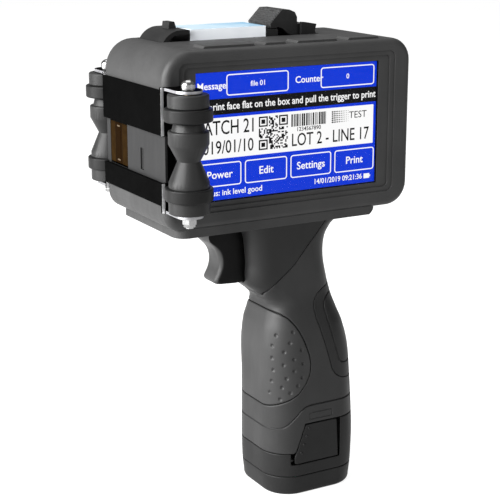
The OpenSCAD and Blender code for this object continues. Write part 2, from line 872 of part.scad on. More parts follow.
module neck_shroud() {
    color([0.2, 0.2, 0.2])
    difference() {
        intersection() {
            loft(112, neck_top, 0, loft_pitch, loft_steps);
            slab_y(-40, 40)
            neck_region();
        }
        loft(108, neck_top - 3, wall, inner_pitch, 4);
        trigger_way();
        for (place = neck_screw_places)
            along_z(place, 1.3, neck_top - 3 - over, neck_top + over);
        along_z([-15, 0], 7, neck_top - 5, neck_top + over);
    }
}

module neck_screws() {
    color("silver")
    for (place = neck_screw_places) {
        along_z(place, 1.25, neck_top - 2.5, head_base_z + wall + 0.5);
        along_z(place, 2.8, head_base_z + wall + 0.05, head_base_z + wall + 2);
    }
}

// A post from a shell's side wall in to a distance from the middle plane
module side_post(place, r, side, reach) {
    wall_y = row_value(place[1], 3) - wall / 2;
    along_y(place, r, side < 0 ? -wall_y : reach, side < 0 ? -reach : wall_y);
}

module handle_shell(side) {
    color([0.24, 0.24, 0.24])
    difference() {
        union() {
            difference() {
                loft(shell_base, neck_top, 0, loft_pitch, loft_steps);
                loft(shell_base - 5, neck_top - 3, wall, inner_pitch, 4);
            }
            for (place = handle_screw_places)
                side_post(place, 3.2, side, 0);
            for (place = switch_post_places)
                side_post(place, 2.5, side, switch_half);
            for (place = block_post_places)
                side_post(place, 2.5, side, block_half);
        }
        slab_y(-41, 41)
        neck_region();
        slab_y(-41, 41)
        battery_region(0);
        block([-60, side < 0 ? 0 : -60, 0], [60, side < 0 ? 60 : 0, 200]);
        difference() {
            slab_y(-41, 41) {
                front_grip_outline();
                rear_grip_outline();
            }
            loft(shell_base - 1, neck_top, grip_depth, loft_pitch, loft_steps);
        }
        for (place = handle_screw_places) {
            along_y(place, side < 0 ? 1.3 : 1.6, side < 0 ? -17 : -over, side < 0 ? over : 30);
            if (side > 0)
                along_y(place, 3, 17, 30);
        }
        for (place = neck_screw_places)
            along_z(place, 1.3, neck_top - 3 - over, neck_top + over);
        along_z([-15, 0], 7, neck_top - 5, neck_top + over);
    }
}

module handle_screws() {
    color("silver")
    for (place = handle_screw_places) {
        along_y(place, 1.25, -16, 17.05);
        along_y(place, 2.8, 17.05, 19);
    }
}

// Rubber of the handle inside one outline
module grip_skin() {
    color([0.33, 0.33, 0.33])
    difference() {
        intersection() {
            loft(shell_base + 20, 125, 0, loft_pitch, loft_steps);
            slab_y(-41, 41)
            children();
        }
        loft(shell_base + 19, 126, grip_depth - 0.02, loft_pitch, loft_steps);
    }
}

trigger_scoop = [-66, 137.3, 13];
trigger_front = -60.5;

module trigger() {
    color([0.14, 0.14, 0.14]) {
        slab_y(-trigger_half, trigger_half)
        difference() {
            polygon([
                [trigger_front, trigger_z[1]], [-28, trigger_z[1]], [-28, 126.6], [-44, trigger_z[0]],
                [-54.4, trigger_z[0] + 0.4], [-56.2, trigger_z[0] + 1.8], [-57, trigger_z[0] + 4],
                [-57, trigger_scoop[1]], [trigger_front, trigger_scoop[1]]
            ]);
            translate([trigger_scoop[0], trigger_scoop[1]])
            circle(trigger_scoop[2], $fn = fine);
        }
        along_x([0, 137], stem_r, -28.01, switch_x - 1.5);
    }
}

module trigger_switch() {
    color("maroon")
    difference() {
        block([switch_x, -switch_half, 126.5], [3, switch_half, 147]);
        along_x([0, 137], stem_r + 0.4, switch_x - over, -9);
    }
}

coil_r = 4.2;
wire_r = 0.45;
coil_turns = 4;
coil_rings = 64;
coil_sides = 8;

module trigger_spring() {
    x0 = -27.4;
    x1 = switch_x - 0.6;
    points = [for (i = [0:coil_rings])
        for (j = [0:coil_sides - 1])
            let (a = 360 * coil_turns * i / coil_rings,
                 b = 360 * j / coil_sides,
                 r = coil_r + wire_r * cos(b))
            [x0 + (x1 - x0) * i / coil_rings + wire_r * sin(b), r * cos(a), 137 + r * sin(a)]];
    n = coil_sides;
    sides = [for (i = [0:coil_rings - 1])
        for (j = [0:n - 1])
            let (a = i * n + j, b = i * n + (j + 1) % n)
            each [[a, b, a + n], [b, b + n, a + n]]];
    near_end = [for (j = [n - 1:-1:0]) j];
    far_end = [for (j = [0:n - 1]) coil_rings * n + j];
    color("silver")
    polyhedron(points, concat([near_end], sides, [far_end]));
}

blade_x = [-8, 0, 8];

module terminal_block() {
    color("black")
    difference() {
        block([-17, -block_half, stick_top + 2], [15, block_half, stick_top + 11]);
        for (x = blade_x)
            block([x - 3.6, -1, stick_top], [x + 3.6, 1, stick_top + 8]);
    }
}

function cell_places() = [for (a = [0, 120, 240]) [-1 + 10.8 * cos(a), 10.8 * sin(a)]];

tab_outline = [[-16, 19.2], [-16, 23.8], [-15.2, 24.9], [-9.2, 41.7], [11.1, 41.7], [12.4, 19.2]];

// Room in the battery case around one release tab, and the two slots that flank it
module tab_room(side) {
    slab_y(side < 0 ? -30 : stick_half, side < 0 ? -stick_half : 30)
    polygon([[-18.2, 18.5], [-18.2, 25.2], [-15.6, 30], [-9.4, 44], [13.8, 44], [13.8, 18.5]]);
}

module battery_case() {
    color([0.17, 0.17, 0.17])
    difference() {
        union() {
            intersection() {
                loft(cap_seam_z + 0.1, shoulder_z + 2, 0, loft_pitch, loft_steps);
                slab_y(-40, 40)
                battery_region(gap);
            }
            translate([0, 0, cap_seam_z + 0.1])
            linear_extrude(stick_top - cap_seam_z - 0.1)
            round_rect([stick_x[0], -stick_half], [stick_x[1], stick_half], [9, 9, 9, 9]);
        }
        translate([0, 0, cap_seam_z - over])
        linear_extrude(stick_top - 1.6 - cap_seam_z + over)
        round_rect([stick_x[0] + 1.4, -stick_half + 1.4], [stick_x[1] - 1.4, stick_half - 1.4], [8, 8, 8, 8]);
        for (side = [-1, 1])
            tab_room(side);
        for (side = [-1, 1])
            along_x([side * tab_axis_y, tab_axis_z], 1.02, -20.5, 16);
        for (x = blade_x)
            block([x - 3.05, -0.45, stick_top - 3], [x + 3.05, 0.45, stick_top + over]);
    }
}

module battery_base_cap() {
    color([0.17, 0.17, 0.17])
    difference() {
        loft(0, cap_seam_z, 0, 0.8, loft_steps);
        translate([0, 0, 3])
        linear_extrude(cap_seam_z)
        round_rect([stick_x[0] + 1.4, -stick_half + 1.4], [stick_x[1] - 1.4, stick_half - 1.4], [8, 8, 8, 8]);
    }
}

module battery_cells() {
    color("seagreen")
    for (place = cell_places())
        along_z(place, cell_r, 4, 4 + cell_len + 2, fine);
}

module battery_terminals() {
    color("gold")
    for (x = blade_x)
        block([x - 3, -0.4, stick_top - 1.6], [x + 3, 0.4, stick_top + 6]);
}

module release_tab(side) {
    y0 = side < 0 ? -tab_face_y : tab_face_y - tab_t;
    color([0.17, 0.17, 0.17])
    difference() {
        union() {
            slab_y(y0, y0 + tab_t)
            polygon(tab_outline);
            along_x([side * tab_axis_y, tab_axis_z], 1.7, -15.8, 12.3);
        }
        along_x([side * tab_axis_y, tab_axis_z], 1 + running, -17, 14);
    }
}

module release_tab_pins() {
    color("silver")
    for (side = [-1, 1])
        along_x([side * tab_axis_y, tab_axis_z], 1, -20.3, 15.8);
}

head_housing();
back_cover();
back_cover_screws();
display_glass();
display_gasket();
lcd_panel();
board_standoffs();
main_board();
io_board();
power_switch();
usb_port();
charge_jack();
power_button();
roller_bracket();
bracket_screws();
head_plate();
sensor_window();
sensor_board();
cartridge_stall();
latch_hinge_pin();
latch_lever();
ink_cartridge();
cartridge_label();
nozzle_flex();
nozzle_plate();
contact_board();
contact_pins();
roller_spool(-1);  // near_roller_spool
upper_tyre(-1);  // near_roller_upper_tyre
lower_tyre(-1);  // near_roller_lower_tyre
roller_cap(-1);  // near_roller_cap
roller_bushes(-1);  // near_roller_bushes
axle_screw(-1);  // near_axle_screw
axle_nut(-1);  // near_axle_nut
roller_spool(1);  // far_roller_spool
upper_tyre(1);  // far_roller_upper_tyre
lower_tyre(1);  // far_roller_lower_tyre
roller_cap(1);  // far_roller_cap
roller_bushes(1);  // far_roller_bushes
axle_screw(1);  // far_axle_screw
axle_nut(1);  // far_axle_nut
neck_shroud();
neck_screws();
handle_shell(-1);  // handle_near_shell
handle_shell(1);  // handle_far_shell
grip_skin() front_grip_outline();  // front_grip
grip_skin() rear_grip_outline();  // rear_grip
handle_screws();
trigger();
trigger_switch();
trigger_spring();
terminal_block();
battery_case();
battery_base_cap();
battery_cells();
battery_terminals();
release_tab(-1);  // near_release_tab
release_tab(1);  // far_release_tab
release_tab_pins();
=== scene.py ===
"""Looks of a handheld date code inkjet printer, built around its CAD frame.

Metres, +Z up. The printer stands on the origin, the print face looks along -X and the display along -Y.
Lengths inside the drawing functions of the handle, trigger and display are millimetres until metres().
"""
import json
import math
import random

import bmesh
import bpy
import numpy as np
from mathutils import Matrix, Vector


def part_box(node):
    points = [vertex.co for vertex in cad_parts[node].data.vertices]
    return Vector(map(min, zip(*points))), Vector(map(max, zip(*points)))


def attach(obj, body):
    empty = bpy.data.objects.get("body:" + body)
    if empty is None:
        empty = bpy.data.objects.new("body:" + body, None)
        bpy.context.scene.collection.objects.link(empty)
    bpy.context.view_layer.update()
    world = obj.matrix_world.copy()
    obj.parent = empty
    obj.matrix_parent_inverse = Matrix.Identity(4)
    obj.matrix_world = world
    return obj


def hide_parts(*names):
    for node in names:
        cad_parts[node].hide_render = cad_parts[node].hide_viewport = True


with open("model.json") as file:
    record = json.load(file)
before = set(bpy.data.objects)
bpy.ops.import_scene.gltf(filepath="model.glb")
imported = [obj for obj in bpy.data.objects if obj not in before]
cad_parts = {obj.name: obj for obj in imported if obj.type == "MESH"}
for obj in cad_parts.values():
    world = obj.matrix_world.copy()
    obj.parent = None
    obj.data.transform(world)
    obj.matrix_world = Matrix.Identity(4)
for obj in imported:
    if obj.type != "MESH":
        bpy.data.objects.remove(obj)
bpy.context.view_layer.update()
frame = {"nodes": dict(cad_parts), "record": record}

MM = 0.001
NODES = frame["nodes"]
SLOTS = {part["node"]: part["material_slot"] for part in frame["record"]["subparts"]}

# The handle's sections: height, front, rear, half width, corner radius
HANDLE_ROWS = [
    (0, -27.4, 27.2, 24.9, 16), (11.5, -28.4, 28.2, 25.5, 16.5), (27, -28.8, 28.8, 25.6, 16.5),
    (40, -28.8, 28.5, 25.6, 16.5), (65, -28.8, 26.7, 25.6, 16.5), (84, -29.2, 24.6, 25.3, 16),
    (97, -28.1, 21.1, 24.2, 15.3), (104, -26.4, 18.3, 22.6, 14.5), (112, -25.5, 15.4, 20.8, 14),
    (118, -31.4, 13.2, 20.8, 13.5), (124, -38.4, 10.7, 21.6, 12.5), (137, -39.2, 7.2, 23, 12),
    (148, -40.2, 7.4, 24, 12), (155, -41.2, 10.6, 25, 12), (161, -42.4, 16, 26, 12),
]
BASE_EDGE = 2.4
CAP_SEAM_Z = 11.5
SKIRT_Z = 25.5
SHOULDER_Z = 42.4
NECK_TOP = 161.0
NECK_SEAM = [(-60, 115.2), (-28.2, 115.2), (-29.8, 117.2), (-30.6, 119.6), (-30, 122.2), (-27.8, 124.9),
             (-24.8, 127.4), (-21.4, 130.1), (-18.3, 132.7), (-15.2, 135.7), (-11.4, 140.8), (-7.1, 146.4),
             (-3.4, 151), (0.4, 156.3), (3.8, 162)]
NECK_REGION = NECK_SEAM + [(3.8, 175), (-60, 175)]
BATTERY_REGION = [(-60, -20), (60, -20), (60, SHOULDER_Z), (-9.5, SHOULDER_Z), (-15.5, SKIRT_Z),
                  (-60, SKIRT_Z)]
FRONT_GRIP = [(-60, 52.8), (-28.9, 52.8), (-23.6, 55.4), (-18.5, 57.8), (-13.6, 61), (-9.4, 65.9),
              (-6.8, 71.5), (-6.2, 77), (-7.2, 82.6), (-9.8, 89.8), (-12.4, 95.4), (-15.4, 100.4),
              (-18.6, 104.3), (-22.1, 106.6), (-25.6, 107.8), (-60, 108)]
REAR_GRIP = [(60, 119.7), (9, 120), (3.6, 118.7), (0, 116), (-2, 112), (-2.5, 108), (-1.6, 102), (0.3, 96),
             (3, 87.6), (5.8, 78.4), (7.7, 72), (10, 68.6), (13.4, 66.4), (18, 65), (60, 64.7)]
REAR_RIDGE = [(60, 114.6), (8.2, 114.4), (5.2, 111.8), (4, 108), (5.4, 100.9), (8.4, 90.1), (12.1, 77.4),
              (14, 75), (17.8, 74.2), (60, 74)]
BELT_REGION = [(-60, 0), (60, 0), (60, 53.4), (-6, 53), (-9.4, 52.4), (-12.2, 50.8), (-19.6, 43.2),
               (-22, 41.2), (-25, 40.2), (-60, 39.9)]
# The wall behind the seams: its height, how far it lies below the surface, its room round the trigger
LINING_Z = (46, 160)
LINING_DEPTH = 2.45
TRIGGER_ROOM = 4.0
PLATE_RECT = [(-6.7, 44.6), (8, 44.6), (8, 48.4), (-6.7, 48.4)]
TAB_ROOM = [(-18.2, 18.5), (-18.2, 25.2), (-15.6, 30), (-9.4, 44), (13.8, 44), (13.8, 18.5)]
TAB_OUTLINE = [(-16, 19.2), (-16, 23.8), (-15.2, 24.9), (-9.2, 41.7), (11.1, 41.7), (12.4, 19.2)]
TAB_T = 2.1
TAB_DOTS = [(-7.2, 39.4), (-8.7, 35), (-10.3, 30.2), (-12, 25.4)]
DENTS = [(-17, 97), (-25, 95), (-26.7, 89), (-19, 91), (-12.5, 86.5), (-22, 86), (-26.9, 82), (-17, 81.5),
         (-22.3, 78.5), (-11.5, 78.5), (-26.4, 75), (-16.8, 74.8), (-12, 70.5), (-26.8, 68.3), (-20.8, 70.5),
         (-14.6, 66), (-27.3, 61.5), (-22.8, 65.2), (-18.8, 62), (-23.6, 58.2)]
STICK_X = (-19.6, 20.9)
STICK_HALF = 20.4
STICK_TOP = 82.0
BLADE_X = (-8, 0, 8)


# ---------------------------------------------------------------- camera, light and floor

def add_camera():
    camera = bpy.data.objects.new("camera", bpy.data.cameras.new("camera"))
    bpy.context.scene.collection.objects.link(camera)
    camera.location = (-0.3802, -0.6193, 0.3275)
    camera.rotation_euler = Vector((0.475, 0.842, -0.255)).to_track_quat("-Z", "Y").to_euler()
    camera.data.lens = 96.4
    camera.data.sensor_width = 36.0
    camera.data.dof.use_dof = False
    bpy.context.scene.camera = camera


def add_area(name, place, size, power, target=(-0.03, 0.0, 0.17)):
    lamp = bpy.data.objects.new(name, bpy.data.lights.new(name, "AREA"))
    bpy.context.scene.collection.objects.link(lamp)
    lamp.location = place
    lamp.rotation_euler = (Vector(target) - Vector(place)).to_track_quat("-Z", "Y").to_euler()
    lamp.data.shape = "RECTANGLE"
    lamp.data.size = size[0]
    lamp.data.size_y = size[1]
    lamp.data.energy = power


def add_studio():
    world = bpy.data.worlds.new("studio")
    bpy.context.scene.world = world
    world.use_nodes = True
    world.node_tree.nodes["Background"].inputs["Color"].default_value = (1, 1, 1, 1)
    world.node_tree.nodes["Background"].inputs["Strength"].default_value = 0.3
    add_area("key", (-1.6, -0.1, 0.9), (1.6, 1.6), 170)
    add_area("left", (-1.3, 0.5, 0.3), (0.4, 0.9), 22)
    add_area("top", (0.1, 0.3, 1.5), (1.0, 1.0), 12)
    add_area("fill", (0.7, -1.5, 0.6), (1.0, 1.0), 5)
    bpy.context.scene.view_settings.view_transform = "Standard"
    bpy.ops.mesh.primitive_plane_add(size=12.0)
    floor = bpy.context.object
    floor.name = "floor"
    floor.data.materials.append(floor_material())


# ---------------------------------------------------------------- materials

def grey(value):
    return (value, value, value)


class Shader:
    """A Principled material under construction: short calls that add nodes and link them."""

    def __init__(self, name, color, rough, metallic=0.0, coat=0.0, specular=0.5, ior=1.5):
        self.material = bpy.data.materials.new(name)
        self.material.use_nodes = True
        self.tree = self.material.node_tree
        self.bsdf = self.tree.nodes["Principled BSDF"]
        self.bsdf.inputs["Base Color"].default_value = (*color, 1)
        self.bsdf.inputs["Roughness"].default_value = rough
        self.bsdf.inputs["Metallic"].default_value = metallic
        self.bsdf.inputs["Coat Weight"].default_value = coat
        self.bsdf.inputs["Coat Roughness"].default_value = 0.08
        self.bsdf.inputs["Specular IOR Level"].default_value = specular
        self.bsdf.inputs["IOR"].default_value = ior
        self.color = color
        self.rough = rough
        self.place = self.add("ShaderNodeTexCoord").outputs["Object"]

    def add(self, kind, **settings):
        node = self.tree.nodes.new(kind)
        for key, value in settings.items():
            setattr(node, key, value)
        return node

    def link(self, source, target):
        self.tree.links.new(source, target)

    def math(self, operation, a, b=0.0, clamp=False):
        node = self.add("ShaderNodeMath", operation=operation, use_clamp=clamp)
        for socket, value in zip(node.inputs, (a, b)):
            if isinstance(value, (int, float)):
                socket.default_value = value
            else:
                self.link(value, socket)
        return node.outputs[0]

    def noise(self, scale_mm, detail=3.0, stretch=(1, 1, 1)):
        """Noise with features about scale_mm across, stretched along an axis by a stretch below 1."""
        mapping = self.add("ShaderNodeMapping")
        self.link(self.place, mapping.inputs["Vector"])
        mapping.inputs["Scale"].default_value = [s / (scale_mm * MM) for s in stretch]
        noise = self.add("ShaderNodeTexNoise")
        noise.inputs["Scale"].default_value = 1.0
        noise.inputs["Detail"].default_value = detail
        self.link(mapping.outputs[0], noise.inputs["Vector"])
        return noise.outputs["Fac"]

    def spread(self, fac, low, high):
        """Maps a value that runs over about 0.3 to 0.7 onto low to high."""
        node = self.add("ShaderNodeMapRange", clamp=True)
        node.inputs["From Min"].default_value = 0.3
        node.inputs["From Max"].default_value = 0.7
        node.inputs["To Min"].default_value = low
        node.inputs["To Max"].default_value = high
        self.link(fac, node.inputs["Value"])
        return node.outputs["Result"]

    def blend(self, fac, color_a, color_b):
        node = self.add("ShaderNodeMix", data_type="RGBA")
        if isinstance(fac, (int, float)):
            node.inputs["Factor"].default_value = fac
        else:
            self.link(fac, node.inputs["Factor"])
        for socket, color in ((node.inputs[6], color_a), (node.inputs[7], color_b)):
            if isinstance(color, tuple):
                socket.default_value = (*color, 1)
            else:
                self.link(color, socket)
        return node.outputs[2]

    def axis(self, index, of="place"):
        split = self.add("ShaderNodeSeparateXYZ")
        source = self.place if of == "place" else self.add("ShaderNodeNewGeometry").outputs["Normal"]
        self.link(source, split.inputs[0])
        return split.outputs[index]

    def above(self, value, edge, width=1e-5):
        """1 where value is over edge, 0 below, with a ramp of the given width."""
        node = self.add("ShaderNodeMapRange", clamp=True)
        node.inputs["From Min"].default_value = edge - width
        node.inputs["From Max"].default_value = edge + width
        self.link(value, node.inputs["Value"])
        return node.outputs["Result"]

    def below(self, value, edge, width=1e-5):
        return self.math("SUBTRACT", 1.0, self.above(value, edge, width))

    def size(self, value):
        """A value without its sign."""
        return self.math("ABSOLUTE", value)

    def edges(self, radius_mm, gain):
        """About 1 along sharp outer and inner edges and 0 on flat ground."""
        bevel = self.add("ShaderNodeBevel", samples=4)
        bevel.inputs["Radius"].default_value = radius_mm * MM
        dot = self.add("ShaderNodeVectorMath", operation="DOT_PRODUCT")
        self.link(bevel.outputs[0], dot.inputs[0])
        self.link(self.add("ShaderNodeNewGeometry").outputs["Normal"], dot.inputs[1])
        return self.math("MULTIPLY", self.math("SUBTRACT", 1.0, dot.outputs["Value"]), gain, clamp=True)

    def set_color(self, output):
        self.link(output, self.bsdf.inputs["Base Color"])

    def set_rough(self, output):
        self.link(output, self.bsdf.inputs["Roughness"])

    def bump(self, height, strength, depth_mm):
        bump = self.add("ShaderNodeBump")
        bump.inputs["Strength"].default_value = strength
        bump.inputs["Distance"].default_value = depth_mm * MM
        self.link(height, bump.inputs["Height"])
        self.link(bump.outputs[0], self.bsdf.inputs["Normal"])


def scaled(color, factor):
    return tuple(min(1.0, c * factor) for c in color)


def moulded(name, color, rough, grain_mm=0.45, relief=0.25, wear=0.5, coat=0.0, specular=0.17):
    """Moulded plastic or rubber: spark-eroded grain, handling marks and edges rubbed lighter."""
    shader = Shader(name, color, rough, coat=coat, specular=specular)
    cloud = shader.noise(26, 4.0)
    smear = shader.noise(7, 2.0, (1, 1, 0.25))
    tone = shader.blend(shader.spread(cloud, 0, 1), scaled(color, 0.86), scaled(color, 1.16))
    handled = shader.spread(shader.noise(3, 3.0), 0.2, wear)
    rubbed = shader.math("MULTIPLY", shader.edges(0.5, 2.2), handled, True)
    shader.set_color(shader.blend(rubbed, tone, scaled(color, 2.6)))
    shader.set_rough(shader.spread(smear, rough - 0.06, rough + 0.07))
    shader.bump(shader.noise(grain_mm, 2.0), relief, 0.05)
    return shader.material


def machined(name, color, rough, brush=(1, 1, 1), grain_mm=0.3, edge_gain=1.5):
    """Metal with fine directional brushing and bright rubbed edges."""
    shader = Shader(name, color, rough, metallic=1.0)
    lines = shader.noise(grain_mm, 3.0, brush)
    tone = shader.blend(shader.spread(lines, 0, 1), scaled(color, 0.88), scaled(color, 1.1))
    shader.set_color(shader.blend(shader.edges(0.3, edge_gain), tone, scaled(color, 1.35)))
    shader.set_rough(shader.spread(shader.noise(5, 3.0), rough - 0.05, rough + 0.08))
    shader.bump(lines, 0.12, 0.02)
    return shader.material


def floor_material():
    """White paper sweep, faintly mottled and lit from within, as a studio table is."""
    shader = Shader("studio_floor", grey(0.22), 0.7)
    mottle = shader.spread(shader.noise(300, 2.0), 0, 1)
    shader.set_color(shader.blend(mottle, grey(0.21), grey(0.23)))
    shader.bsdf.inputs["Emission Color"].default_value = (1, 1, 1, 1)
    shader.bsdf.inputs["Emission Strength"].default_value = 0.88
    return shader.material


def bracket_material():
    """Black anodised sheet with unpainted metal on its cut edges past the side webs, and a painted
    highlight: a bright metal strip along the bends where the front sheet turns into the webs.
    """
    black = grey(0.0007)
    bend_highlight_metal = (0.9, 0.9, 0.91)
    ear_edge = (0.25, 0.25, 0.26)
    low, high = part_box("roller_bracket")
    shader = Shader("black_bracket", black, 0.42, ior=1.03)
    sheet = 0.0015
    web_y = 0.0364
    # Painted highlight: the front sheet's end faces, where it bends into the side webs, are drawn as bright
    # metal for the light caught along the bend.
    side_faces = shader.above(shader.size(shader.axis(1, "normal")), 0.7, 0.1)
    in_front = shader.below(shader.axis(0), low[0] + sheet, 0.0001)
    corner = shader.math("MULTIPLY", side_faces, in_front)
    past_web = shader.above(shader.size(shader.axis(1)), web_y, 0.0001)
    upright = shader.below(shader.size(shader.axis(2, "normal")), 0.5, 0.1)
    rim = shader.math("MULTIPLY", past_web, upright)
    # Unpainted metal on the cut edges together with the painted highlight along the bends.
    bare_edge_and_highlight = shader.math("MAXIMUM", corner, rim)
    tone = shader.blend(shader.spread(shader.noise(18, 3.0), 0, 1), black, scaled(black, 1.5))
    # Bright metal for the painted highlight along the bends, dimmer metal for the cut edges.
    edge_and_highlight_metal = shader.blend(corner, ear_edge, bend_highlight_metal)
    shader.set_color(shader.blend(bare_edge_and_highlight, tone, edge_and_highlight_metal))
    shader.link(bare_edge_and_highlight, shader.bsdf.inputs["Metallic"])
    shader.set_rough(shader.spread(shader.noise(4, 3.0), 0.4, 0.52))
    shader.bump(shader.noise(0.25, 2.0), 0.15, 0.02)
    return shader.material


def flex_material():
    """Polyimide flex over the cartridge nose: copper brown with a darker nozzle band and two gold marks."""
    low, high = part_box("nozzle_flex")
    middle = 0.0204
    band_half = 0.0037
    line_edge = 0.0042
    mark_half = 0.0016
    mark_from = 0.0086
    mark_to = 0.0094
    soft = 0.0001
    z_middle = (low[2] + high[2]) / 2
    shader = Shader("copper_flex", (0.01, 0.005, 0.001), 0.4, ior=1.03)
    across = shader.size(shader.math("SUBTRACT", shader.axis(1), middle))
    band = shader.below(across, band_half, 2 * soft)
    past_band = shader.above(across, band_half, soft)
    line = shader.math("MULTIPLY", past_band, shader.below(across, line_edge, soft))
    up = shader.size(shader.math("SUBTRACT", shader.axis(2), z_middle))
    mark_rows = shader.math("MULTIPLY", shader.above(up, mark_from, soft), shader.below(up, mark_to, soft))
    marks = shader.math("MULTIPLY", mark_rows, shader.below(across, mark_half, soft))
    film = shader.spread(shader.noise(4, 3.0), 0, 1)
    tone = shader.blend(film, (0.0065, 0.0032, 0.0007), (0.01, 0.005, 0.0011))
    tone = shader.blend(band, tone, (0.0045, 0.0019, 0.0003))
    tone = shader.blend(line, tone, (0.002, 0.001, 0.0006))
    shader.set_color(shader.blend(marks, tone, (0.05, 0.038, 0.026)))
    shader.bump(shader.noise(0.8, 2.0, (1, 1, 0.2)), 0.15, 0.03)
    return shader.material


def label_material():
    """Coated paper label: pale grey side panels and a streaked, pale blue top."""
    low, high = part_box("cartridge_label")
    shader = Shader("cartridge_film", (0.86, 0.88, 0.9), 0.28, coat=0.4)
    top = shader.above(shader.axis(2, "normal"), 0.5, 0.1)
    along = shader.add("ShaderNodeMapRange", clamp=True)
    along.inputs["From Min"].default_value = low[0]
    along.inputs["From Max"].default_value = high[0]
    shader.link(shader.axis(0), along.inputs["Value"])
    sky = shader.blend(along.outputs["Result"], (0.42, 0.56, 0.65), (0.1, 0.32, 0.5))
    streaks = shader.spread(shader.noise(6, 3.0, (0.5, 1, 1)), 0, 0.5)
    sky = shader.blend(streaks, sky, (0.6, 0.66, 0.7))
    side = shader.blend(shader.spread(shader.noise(20, 2.0), 0, 1), (0.68, 0.71, 0.75), (0.76, 0.79, 0.82))
    shader.set_color(shader.blend(top, side, sky))
    shader.bump(shader.noise(1.5, 2.0), 0.05, 0.02)
    return shader.material


def board_material():
    """Solder mask with a maze of thin traces."""
    shader = Shader("circuit_board", (0.01, 0.09, 0.035), 0.35, coat=0.3)
    cells = shader.add("ShaderNodeTexVoronoi", feature="DISTANCE_TO_EDGE", distance="MANHATTAN")
    cells.inputs["Scale"].default_value = 260.0
    shader.link(shader.place, cells.inputs["Vector"])
    trace = shader.below(cells.outputs["Distance"], 0.06, 0.02)
    shader.set_color(shader.blend(trace, (0.01, 0.09, 0.035), (0.05, 0.22, 0.09)))
    shader.bump(trace, 0.2, 0.03)
    return shader.material


def panel_material(name, color, glow):
    """A lit area of the display under its cover glass."""
    shader = Shader(name, scaled(color, 0.03), 0.12, specular=0.1)
    uneven = shader.blend(shader.spread(shader.noise(60, 1.0), 0, 1), scaled(color, 0.94), color)
    shader.link(uneven, shader.bsdf.inputs["Emission Color"])
    shader.bsdf.inputs["Emission Strength"].default_value = glow
    return shader.material


def glass_material():
    shader = Shader("cover_glass", grey(0.02), 0.03, specular=0.08)
    shader.bsdf.inputs["Alpha"].default_value = 0.03
    shader.set_rough(shader.spread(shader.noise(22, 4.0), 0.02, 0.1))
    return shader.material


def trigger_material():
    """Satin black sides; the finger face, turned towards the key lamp, is painted a lighter grey: painted
    light.
    """
    shader = Shader("trigger_plastic", grey(0.002), 0.4, specular=0.07)
    # Painted light: faces turned towards -X, where the key lamp stands, take the lighter grey below.
    lit_face_mask = shader.above(shader.math("MULTIPLY", shader.axis(0, "normal"), -1.0), 0.35, 0.3)
    cloud = shader.spread(shader.noise(9, 3.0), 0, 1)
    side = shader.blend(cloud, grey(0.001), grey(0.002))
    # The painted-light grey for the face that looks at the key lamp.
    finger = shader.blend(cloud, grey(0.024), grey(0.032))
    shader.set_color(shader.blend(lit_face_mask, side, finger))
    shader.set_rough(shader.spread(shader.noise(4, 3.0), 0.3, 0.4))
    shader.bump(shader.noise(0.4, 2.0), 0.15, 0.03)
    return shader.material


def latch_material():
    """Black moulding with a coarse sandy ramp."""
    shader = Shader("latch_plastic", grey(0.006), 0.45, specular=0.2)
    ramp = shader.math("MULTIPLY", shader.axis(0, "normal"), -1.0)
    rough_area = shader.above(ramp, 0.3, 0.2)
    cloud = shader.spread(shader.noise(1.1, 4.0), 0, 1)
    sandy = shader.blend(cloud, grey(0.004), grey(0.03))
    shader.set_color(shader.blend(rough_area, grey(0.005), sandy))
    shader.set_rough(shader.spread(shader.noise(3, 3.0), 0.36, 0.52))
    shader.bump(shader.noise(0.9, 3.0), 0.3, 0.08)
    return shader.material


def make_materials():
    """One material for each slot of the CAD record."""
    steel = (0.62, 0.62, 0.63)
    flex = flex_material()
    mouldings = {
        "charcoal_abs": (grey(0.021), 0.5),
        "black_abs": (grey(0.005), 0.45),
        "handle_abs": (grey(0.012), 0.48),
        "battery_abs": (grey(0.0075), 0.47, 0.45, 0.25, 0.5, 0.0, 0.1),
        "grip_rubber": (grey(0.017), 0.5, 0.35, 0.3, 0.3),
        "black_rubber": (grey(0.0055), 0.42, 0.3, 0.15, 0.4, 0.0, 0.1),
        "roller_acetal": (grey(0.011), 0.42, 0.6, 0.08, 0.5, 0.0, 0.13),
        "grey_aluminium": ((0.0105, 0.0105, 0.0107), 0.45, 0.5, 0.2, 1.0, 0.0, 0.1),
        "dark_gloss": (grey(0.003), 0.3, 1.0, 0.02, 0.1, 0.0, 0.1),
        "button_red": ((0.4, 0.02, 0.02), 0.25, 0.8, 0.05, 0.2, 0.4),
        "cartridge_black": (grey(0.008), 0.42),
        "cell_can": ((0.03, 0.2, 0.12), 0.3, 1.0, 0.05, 0.2, 0.3),
    }
    metals = {
        "brass": ((0.72, 0.5, 0.2), 0.3),
        "steel_hardware": (steel, 0.32),
        "port_steel": (steel, 0.28, (1, 1, 0.2)),
        "axle_chrome": (grey(0.26), 0.22, (1, 1, 0.3)),
    }
    made = {
        "trigger_abs": trigger_material(),
        "display_glass": glass_material(),
        "lcd_blue": panel_material("lcd_blue", (0.0, 0.045, 0.8), 0.2),
        "circuit_board": board_material(),
        "black_aluminium": bracket_material(),
        "label_white": label_material(),
        "copper_flex": flex,
        "nozzle_gold": flex,
    }
    made.update({name: moulded(name, *look) for name, look in mouldings.items()})
    made.update({name: machined(name, *look) for name, look in metals.items()})
    return made


# ---------------------------------------------------------------- pieces

def metres(points):
    return [Vector(p) * MM for p in points]


